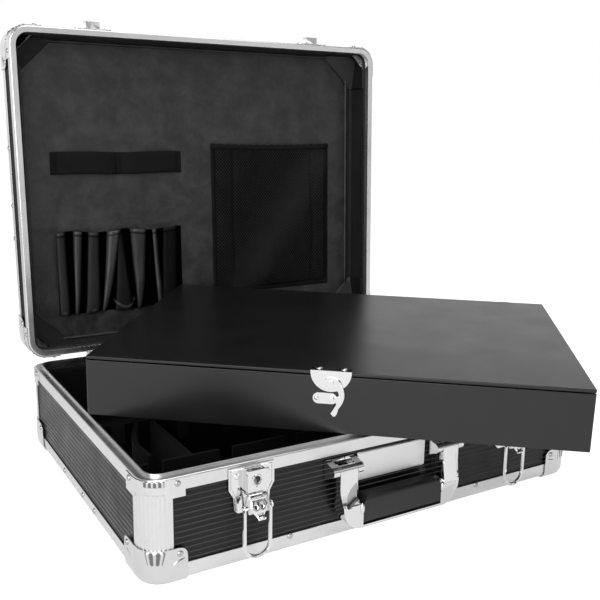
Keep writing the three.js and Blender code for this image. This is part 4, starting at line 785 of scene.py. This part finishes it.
# Net pocket: knitted nylon net, bound with tape at its sides and foot, and drawn in by an elastic along its
# mouth. It is pleated near each side and hangs slack between, with a slanting fold that lies near the lining.
def net_thread():
    """Black nylon thread, drawn 1.2 mm wide so that the net shows, with a painted highlight along the slanting
    fold where it meets the light: the nearer to a line in x and z, in metres, the paler the colour is painted."""
    material, tree, shader = finish("black_nylon_net_painted_highlight", "#060606", 0.7, Specular_IOR_Level=0.12)
    fibre = node(tree, "TexNoise", {"Vector": placed(tree), "Scale": 90, "Detail": 4})
    across_fold = node(tree, "VectorMath", {0: placed(tree), 1: (0.82, 0.0, -0.57)}, operation="DOT_PRODUCT")
    off = node(tree, "Math", {0: across_fold.outputs["Value"], 1: 0.0415}, operation="ADD")
    off = node(tree, "Math", {0: off.outputs[0]}, operation="ABSOLUTE")
    bright = node(tree, "MapRange", {0: off.outputs[0], 1: 0.030, 2: 0.006, 3: 0.0, 4: 1.0})
    toned = node(tree, "Mix", {0: fibre.outputs[0], 6: linear("#020202"), 7: linear("#060606")},
                 data_type="RGBA")
    # painted highlight along the slanting fold
    fold_painted_highlight = node(tree, "Mix", {0: bright.outputs[0], 6: toned.outputs[2], 7: linear("#1e1e1e")},
                   data_type="RGBA")
    tree.links.new(fold_painted_highlight.outputs[2], shader.inputs["Base Color"])
    return material


net_black = net_thread()
NET_LEFT, NET_RIGHT, NET_LOW, NET_HIGH = 0.013, 0.184, 0.046, 0.235


def net_stand(x, up):
    """How far the net stands off: it rises from its sewn sides, has a pleat near each, and hangs slack."""
    side = np.clip(np.minimum(x - NET_LEFT, NET_RIGHT - x) / 0.014, 0, 1)
    foot = np.clip((up - NET_LOW) / 0.03, 0, 1)
    pleat = np.exp(-((x - NET_LEFT - 0.028) / 0.003) ** 2) + np.exp(-((NET_RIGHT - 0.026 - x) / 0.003) ** 2)
    slack = 0.0011 * np.sin((x * 0.8 + up) * 60) + 0.0007 * np.sin((x * 2 - up) * 45)
    along = (x - 0.055) * 0.82 - (up - 0.060) * 0.57
    lying = 0.0042 * np.exp(-(along / 0.016) ** 2)
    full = 0.0064 * np.sin(side * np.pi / 2) + (slack - 0.0034 * pleat - lying) * side
    return 0.0008 + np.maximum(full, 0) * np.sin(foot * np.pi / 2)


CELL_W, CELL_H, HALF_THREAD = 0.0036, 0.0046, 0.00062
RUN = (NET_HIGH - NET_LOW) * CELL_W / CELL_H
lines = []
for slope in (1, -1):
    for start in np.arange(NET_LEFT - RUN, NET_RIGHT + RUN, CELL_W):
        t = np.arange(0, (NET_HIGH - NET_LOW - 0.004) / (CELL_H / 2) + 1) * (CELL_H / 2)
        x = start + slope * t * CELL_W / CELL_H
        keep = (x > NET_LEFT + 0.001) & (x < NET_RIGHT - 0.001)
        if keep.sum() > 2:
            x, t = x[keep], t[keep]
            thread = in_lid(x, NET_LOW + t, net_stand(x, NET_LOW + t))
            step = np.array([slope * CELL_W, 0, CELL_H]) / math.hypot(CELL_W, CELL_H)
            beside, over = np.cross(step, LID_WAY) * HALF_THREAD, LID_WAY * HALF_THREAD * 0.6
            lines.append(np.stack([thread - beside, thread + over, thread + beside], 1))
net = surface("net_pocket_mesh", lines, net_black, "lid", crease=180)
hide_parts("net_pocket")

# the tapes at its sides and foot, and the gathered hem over its elastic, with a shadowed mouth behind it
tape_up = np.linspace(NET_LOW, NET_HIGH, 60)
tape_x = np.linspace(NET_LEFT, NET_RIGHT, 90)
for name, x, up, wide in (("left", np.full(60, NET_LEFT + 0.002), tape_up, 0.0028),
                          ("right", np.full(60, NET_RIGHT - 0.002), tape_up, 0.0028),
                          ("foot", tape_x, np.full(90, NET_LOW + 0.002), 0.0036)):
    pucker = 0.0009 + 0.0003 * np.sin(np.arange(len(x)) * 2.1)
    tape = strand(in_lid(x, up, pucker), LID_WAY, wide, 8, 0.35)
    tape = surface(f"net_tape_{name}", [tape], elastic, "lid")
gather = 0.0003 * np.sin(tape_x * 1500) + 0.0004 * np.sin(tape_x * 620)
belly = 0.0072 * np.clip(np.minimum(tape_x - NET_LEFT, NET_RIGHT - tape_x) / 0.012, 0, 1) ** 0.7
mouth = in_lid(tape_x, NET_HIGH - 0.0035 + gather - 0.0016 * np.sin((tape_x - NET_LEFT) / 0.171 * math.pi),
               0.0014 + belly)
hem = surface("net_gathered_hem", [strand(mouth, LID_WAY, 0.0031, 10, 0.45)], elastic, "lid")


# Hardware: latches, handle, hinges and keepers, cast or pressed, bright chrome plated, and riveted or screwed
# to the boards. Each bail is one wire, whose ends are bent round into eyes beside its lever's cheeks.
def dress(material, *names):
    """Gives CAD nodes a material in every slot."""
    for name in names:
        obj = NODES[name]
        if not obj.material_slots:
            obj.data.materials.append(material)
        for place in obj.material_slots:
            place.material = material


chrome = plated("chrome_plated_die_casting", "#dcdcdc", 0.06, 7, 0.16)
eased(chrome, 0.0003, "latch_plate_left", "latch_plate_right", "latch_lever_left", "latch_lever_right",
      "latch_keeper_left", "latch_keeper_right", "handle_bracket_left", "handle_bracket_right",
      "base_hinge_leaf_left", "base_hinge_leaf_right", "lid_hinge_leaf_left", "lid_hinge_leaf_right")
eased(chrome, 0.0007, "handle_strap")
dress(chrome, "latch_bail_left", "latch_bail_right")

# Latch plates: a bead is pressed along the top and down both sides and a ring round the keyhole, with a rivet
# at each upper corner, and a slot beside the lever, drawn as a black sheet of painted shade.
LATCH_X, FRONT_Y = 0.1395, -0.1795
OUTWARD = np.array([0.0, -1.0, 0.0])
painted_hole_shade, tree, shader = finish("painted_shade_in_holes", "#050505", 0.8)
speck = node(tree, "TexNoise", {"Vector": placed(tree), "Scale": 800})
toned = node(tree, "Mix", {0: speck.outputs[0], 6: linear("#030303"), 7: linear("#0a0a0a")}, data_type="RGBA")
tree.links.new(toned.outputs[2], shader.inputs["Base Color"])
BEAD_X = np.array([-13.2, -14.6, -18.6, -18.6, 18.6, 18.6, 14.6, 13.2]) / 1000
BEAD_Z = np.array([50, 61.5, 69, 84.4, 84.4, 69, 61.5, 50]) / 1000
for side, x0 in (("left", -LATCH_X), ("right", LATCH_X)):
    count = np.linspace(0, 7, 140)
    bead = together(x0 + np.interp(count, range(8), BEAD_X), FRONT_Y, np.interp(count, range(8), BEAD_Z))
    bead = np.concatenate([bead[:1], (bead[:-2] + bead[1:-1] + bead[2:]) / 3, bead[-1:]])
    surface(f"latch_plate_bead_{side}", [strand(bead, OUTWARD, 0.0008, 8, 0.8)], chrome, "base")
    a = np.linspace(0, 2 * math.pi, 33)
    ring = together(x0 + 0.0042 * np.cos(a), -0.1885, 0.0773 + 0.0042 * np.sin(a))
    surface(f"latch_keyhole_ring_{side}", [strand(ring, OUTWARD, 0.0008)], chrome, "base")
    heads(f"latch_rivets_{side}", [(x0 - 0.0134, FRONT_Y, 0.0795), (x0 + 0.0134, FRONT_Y, 0.0795)], OUTWARD,
          0.0027, 0.0013, chrome, "base", dimple=0.0003)
    # the slot: a black sheet just behind the plate's face, painted shade
    u, v = np.meshgrid(np.linspace(-1, 1, 9), np.linspace(-1, 1, 17))
    pill = np.clip(1 - np.abs(u) ** 4, 0, 1) ** 0.5 * 0.00025
    slot = together(x0 - 0.0078 + 0.0009 * u, FRONT_Y + 0.00005 - pill, 0.0555 + 0.0052 * v)
    surface(f"latch_slot_{side}", [slot], painted_hole_shade, "base")

# Levers: over each folded plate lies a pressed skin, rolled round the pin at the top, waisted, and drawn out
# to a curled tongue, with two pits pressed into its waist, each darkened by a disc of painted shade.
PIN_Y, PIN_Z, LEAN = -0.1853, 0.0620, math.radians(20)


def on_lever(x, along, over):
    """A place so far along a lever from its pin and so far out from it, as the lever leans 20 degrees."""
    return together(x, PIN_Y - math.sin(LEAN) * along - math.cos(LEAN) * over,
                    PIN_Z - math.cos(LEAN) * along + math.sin(LEAN) * over)


# thirteen rows of the skin, in mm: how far along, how far out, and half as wide
CLAW_ALONG = np.array([-2.4, -2.1, -1.4, -0.2, 1.0, 2.4, 4.4, 7.6, 10.6, 12.6, 14.6, 16.4, 17.4]) / 1000
CLAW_OVER = np.array([3.3, 3.9, 4.4, 4.8, 4.8, 4.6, 4.9, 5.6, 5.6, 4.9, 5.0, 6.0, 7.4]) / 1000
CLAW_HALF = np.array([8.6, 8.6, 8.6, 8.6, 8.4, 7.4, 7.2, 7.6, 7.0, 5.2, 3.8, 3.0, 2.4]) / 1000
step = np.linspace(0, 12, 61)
along, over, half = (np.interp(step, range(13), row)[:, None] for row in (CLAW_ALONG, CLAW_OVER, CLAW_HALF))
u = np.linspace(-1, 1, 41)[None, :]
over = over - 0.0016 * np.abs(u) ** 5
dish = 0.0012 * np.exp(-((along - 0.0078) / 0.0022) ** 2)
over = over - dish * (np.exp(-((u + 0.42) / 0.2) ** 2) + np.exp(-((u - 0.30) / 0.2) ** 2))
for side, x0 in (("left", -LATCH_X), ("right", LATCH_X)):
    skin = on_lever(x0 + half * u, along, over)
    surface(f"latch_claw_{side}", [skin[:, ::-1]], chrome, f"{side}_lever", thick=0.0005,
            crease=50)
    pits = []
    for across_pin, wide in ((-0.0032, 0.0016), (0.0023, 0.0020)):
        r, a = np.meshgrid(np.linspace(0, 1, 5), np.linspace(0, 2 * math.pi, 17))
        pits.append(on_lever(x0 + across_pin + wide * r * np.cos(a), 0.0078 + 0.0011 * r * np.sin(a),
                             0.0053 + 0.0002 * r))
    # black discs over the pits, painted shade
    surface(f"latch_claw_pits_{side}", pits, painted_hole_shade, f"{side}_lever")
    # each end of the bail is bent round into an eye beside the lever's cheek
    a = np.linspace(0, 2 * math.pi, 25)
    eyes = [strand(together(x0 + sx * 0.0121 + 0.0006 * a / 6.28, -0.1893 + 0.0022 * np.cos(a),
                            0.0549 + 0.0022 * np.sin(a)), (1, 0, 0), 0.0010, 8) for sx in (-1, 1)]
    surface(f"latch_bail_eyes_{side}", eyes, chrome, f"{side}_bail", crease=60)

# Rivets hold the keepers, and screws the hinges' leaves.
keeper_spots = in_open_lid(np.array([s * LATCH_X + d for s in (-1, 1) for d in (-0.0155, 0.0155)]),
                           0.1795, 0.0387)
heads("latch_keeper_rivets", keeper_spots, heading(in_open_lid, 0.0, 1.0, 0.0), 0.0026, 0.0013, chrome, "lid")
HINGE_X = 0.140
hinge_spots = [(s * HINGE_X + d, 0.1795, 0.0745) for s in (-1, 1) for d in (-0.0165, 0, 0.0165)]
heads("base_hinge_screws", hinge_spots, (0, 1, 0), 0.0030, 0.0011, chrome, "base", dimple=0.0005)
lid_spots = in_open_lid(np.array([p[0] for p in hinge_spots]), -0.1795, 0.0340)
heads("lid_hinge_screws", lid_spots, heading(in_open_lid, 0.0, -1.0, 0.0), 0.0030, 0.0011, chrome, "lid",
      dimple=0.0005)

# Handle: two brackets, and a cast U whose arms hold the moulded grip. A rounded ear of each arm closes over
# the upper end of the grip.
for side, sx in (("left", -1), ("right", 1)):
    u, v = np.meshgrid(np.linspace(0, 2 * math.pi, 25), np.linspace(-math.pi / 2, math.pi / 2, 13))
    ear = together(sx * (0.0438 + 0.0024 * np.cos(v) * np.cos(u)), -0.1972 + 0.0026 * np.cos(v) * np.sin(u),
                   0.0336 + 0.0052 * np.sin(v))
    surface(f"handle_ear_{side}", [ear], chrome, "handle", closed=True)

# The left arm's hollow: a floor painted darker than the chrome as painted shade, darkest along its outer
# curve, ruled from the drop's outer curve to the arm's inner edge, and along its lower edge a fillet out to
# the arm's face, with a painted shadow at its root, where the attribute is 0.
dark, tree, shader = finish("chrome_painted_shade_in_a_hollow", "#1c1c1c", 0.4, 1.0)
root = node(tree, "Attribute", attribute_name="painted_light").outputs["Fac"]
specks = node(tree, "TexNoise", {"Vector": placed(tree), "Scale": 900, "Detail": 2})
mixed = node(tree, "Math", {0: specks.outputs[0], 1: 0.08, 2: root}, operation="MULTIPLY_ADD", use_clamp=True)
toned = node(tree, "Mix", {0: mixed.outputs[0], 6: linear("#161616"), 7: linear("#c4c4c4")}, data_type="RGBA")
tree.links.new(toned.outputs[2], shader.inputs["Base Color"])


def two_bows(s, share, *marks):
    """Two quadratic curves end to end, the first up to a share of s. The marks, in mm, are the start, the
    point it leaves towards, the joint, the point the second leaves towards, and the end."""
    bows = []
    for t, (start, pull, end) in ((s / share, marks[:3]), ((s - share) / (1 - share), marks[2:])):
        t = np.clip(t, 0, 1)
        bows.append((1 - t) ** 2 * start + 2 * t * (1 - t) * pull + t ** 2 * end)
    return np.where(s < share, *bows) / 1000


s = np.linspace(0, 1, 41)[None, :]
v = np.linspace(0, 1, 9)[:, None]
arc_x = two_bows(s, 0.62, 47.25, 57.25, 59.25, 59.65, 54.25)
arc_z = two_bows(s, 0.62, 57, 51, 40, 34, 37)
floor = together(-arc_x + (arc_x - 0.0464) * v, -0.19265 - 0.0002 * np.sin(np.pi * v),
                 arc_z + (0.057 - 0.015 * s - arc_z) * v)
# the floor's painted shade: darkest along its outer curve
surface("handle_hollow_left", [floor], dark, "handle",
        painted_light=0.22 + 0.5 * np.clip(v / 0.14, 0, 1) * np.ones_like(s))
low_x = two_bows(s, 0.5, 58.9, 58.9, 54.25, 50.25, 46.2)
low_z = two_bows(s, 0.5, 40.5, 34.8, 37.2, 41.0, 42.2)
# the arm's face, by height: it leans out downwards in a slight curve
arm_t = np.linspace(0, 1, 25)
arm_z = np.append((54 - 16 * arm_t - 0.5 * arm_t ** 2) / 1000, 0.0362)[::-1]
arm_y = np.append((-193.6 - arm_t - 3.15 * arm_t ** 2) / 1000, -0.19775)[::-1]
turn = v * math.pi / 2
fillet = together(-low_x, -0.1927 + (np.interp(low_z, arm_z, arm_y) + 0.1926) * (1 - np.cos(turn)),
                  low_z + 0.0009 * (1 - np.sin(turn)))
# painted shadow along the fillet's root
surface("handle_hollow_edge_left", [fillet], dark, "handle",
        painted_light=np.clip((v - 0.4) / 0.4, 0, 1) * 0.6 * np.ones_like(s))

# The right arm's face is smooth: a skin runs over its hollow and round its inner edge, straight from its
# foot to its root with the ends of that line rounded off, and is sunk in the arm at its border.
even_z = np.linspace(0.024, 0.072, 97)
soft_y = np.interp(even_z, [0.0350, 0.0600], [-0.1979, -0.1937])
soft_y = np.convolve(np.pad(soft_y, 8, mode="edge"), np.ones(17) / 17, "valid") - 0.0001
z = np.linspace(0.0290, 0.0650, 73)[None, :]
across = np.array([0.0622, 0.0612, 0.0600, 0.0560, 0.0510, 0.0480, 0.0470, 0.0465, 0.0463, 0.0463])[:, None]
back = np.array([0.0018, 0.0004, 0, 0, 0, 0, 0.0001, 0.0003, 0.0008, 0.0045])[:, None]
sunk = 0.0008 * (np.clip((0.0330 - z) / 0.0040, 0, 1) ** 2 + np.clip((z - 0.0625) / 0.0040, 0, 1) ** 2)
skin = together(across - 0.0030 * (across > 0.06) * np.clip((0.0380 - z) / 0.0080, 0, 1)
                + 0.0008 * (across < 0.0468) * np.clip((z - 0.0550) / 0.0015, 0, 1),
                np.interp(z, even_z, soft_y) + np.maximum(back, sunk), z)
surface("handle_arm_skin_right", [skin], chrome, "handle", crease=60)


def moulded_grip():
    """Black moulded polypropylene: a spark-eroded grain of 0.7 mm, and a polish that hands have given its
    crown.
    """
    material, tree, shader = finish("grained_black_polypropylene", "#161617", 0.42)
    grain = node(tree, "TexNoise", {"Vector": placed(tree), "Scale": 1400, "Detail": 2})
    cloud = node(tree, "TexNoise", {"Vector": placed(tree), "Scale": 40, "Detail": 3})
    toned = node(tree, "Mix", {0: cloud.outputs[0], 6: linear("#0c0c0d"), 7: linear("#161617")},
                 data_type="RGBA")
    tree.links.new(toned.outputs[2], shader.inputs["Base Color"])
    rough = node(tree, "MapRange", {0: cloud.outputs[0], 1: 0.3, 2: 0.7, 3: 0.36, 4: 0.5})
    tree.links.new(rough.outputs[0], shader.inputs["Roughness"])
    bump = node(tree, "Bump", {"Height": grain.outputs[0], "Strength": 0.3, "Distance": 0.00012})
    tree.links.new(bump.outputs[0], shader.inputs["Normal"])
    return material


eased(moulded_grip(), 0.0012, "handle_grip")

# Name plate: a thin aluminium plate with a rolled rim, fixed flat on the front board behind the handle. It is
# brushed finely along its length and left bare.
bare, tree, shader = finish("brushed_aluminium_plate", "#e0e0e0", 0.36, 1.0)
brushed = node(tree, "TexNoise", {"Vector": placed(tree, scale=(0.02, 1, 1)), "Scale": 2500, "Detail": 2})
rough = node(tree, "MapRange", {0: brushed.outputs[0], 1: 0.3, 2: 0.7, 3: 0.34, 4: 0.4})
tree.links.new(rough.outputs[0], shader.inputs["Roughness"])
eased(bare, 0.0003, "name_plate")
rim_x, rim_z = rounded_round(0.0362, 0.0122, 0.0014, 160)
rim = together(rim_x, -0.1785, 0.0627 + rim_z)
surface("name_plate_rim", [strand(rim, OUTWARD, 0.0005)], bare, "base")


# Inner box: thin board wrapped in black leatherette, glued over the edges. It lies loose across the rims,
# and its hasp, hook and catch are the same chrome as the case's.
def leatherette():
    """Fine-grain leatherette: pebbles of 0.9 mm, drawn coarse enough to show, faintly mottled and satin."""
    material, tree, shader = finish("fine_grain_black_leatherette", "#0e0e0f", 0.3)
    warp = node(tree, "TexNoise", {"Vector": placed(tree), "Scale": 300, "Detail": 2})
    at = node(tree, "VectorMath", {0: warp.outputs["Color"], 1: (0.002, 0.002, 0.002)}, operation="MULTIPLY")
    moved = node(tree, "VectorMath", {0: at.outputs[0], 1: placed(tree)}, operation="ADD")
    pebble = node(tree, "TexVoronoi", {"Vector": moved.outputs[0], "Scale": 1100}, feature="SMOOTH_F1")
    cloud = node(tree, "TexNoise", {"Vector": placed(tree), "Scale": 22, "Detail": 5, "Roughness": 0.6})
    toned = node(tree, "Mix", {0: cloud.outputs[0], 6: linear("#0d0d0e"), 7: linear("#151516")},
                 data_type="RGBA")
    tree.links.new(toned.outputs[2], shader.inputs["Base Color"])
    rough = node(tree, "MapRange", {0: cloud.outputs[0], 1: 0.3, 2: 0.7, 3: 0.28, 4: 0.34})
    tree.links.new(rough.outputs[0], shader.inputs["Roughness"])
    broad = node(tree, "Bump", {"Height": cloud.outputs[0], "Strength": 0.06, "Distance": 0.0008})
    bump = node(tree, "Bump", {"Height": pebble.outputs["Distance"], "Strength": 0.35, "Distance": 0.00012,
                               "Normal": broad.outputs[0]})
    tree.links.new(bump.outputs[0], shader.inputs["Normal"])
    return material


eased(leatherette(), 0.0008, "box_tray", "box_lid")
eased(plated("blackened_steel", "#2b2b2d", 0.35, 6, 0.05), 0.0002, "box_hinge_tray_left",
      "box_hinge_tray_right", "box_hinge_lid_left", "box_hinge_lid_right")
eased(chrome, 0.0003, "box_hasp", "box_hook", "box_catch")

# Two rivets hold the hasp's tab to the lid and one the oval catch, set in the box as it leans and turns.
BOX_TURN, BOX_LEAN = math.radians(-38.3), math.radians(1.416)


def on_box(x, y, z):
    """A place on the box drawn square: turned flat, moved out, and leant back about the front rim."""
    wide = math.cos(BOX_TURN) * x - math.sin(BOX_TURN) * y + 0.038
    deep = math.sin(BOX_TURN) * x + math.cos(BOX_TURN) * y + 0.135
    return together(wide, math.cos(BOX_LEAN) * deep - math.sin(BOX_LEAN) * z - 0.178,
                    math.sin(BOX_LEAN) * deep + math.cos(BOX_LEAN) * z + 0.0913)


heads("box_hasp_rivets", on_box(np.array([-0.0107, 0.0107]), -0.1465, 0.0563), heading(on_box, 0.0, 0.0, 1.0),
      0.0026, 0.0012, chrome, "inner_box_lid")
heads("box_catch_rivet", on_box(np.array([-0.0118]), -0.1526, 0.0315), heading(on_box, 0.0, -1.0, 0.0),
      0.0019, 0.0009, chrome, "inner_box")
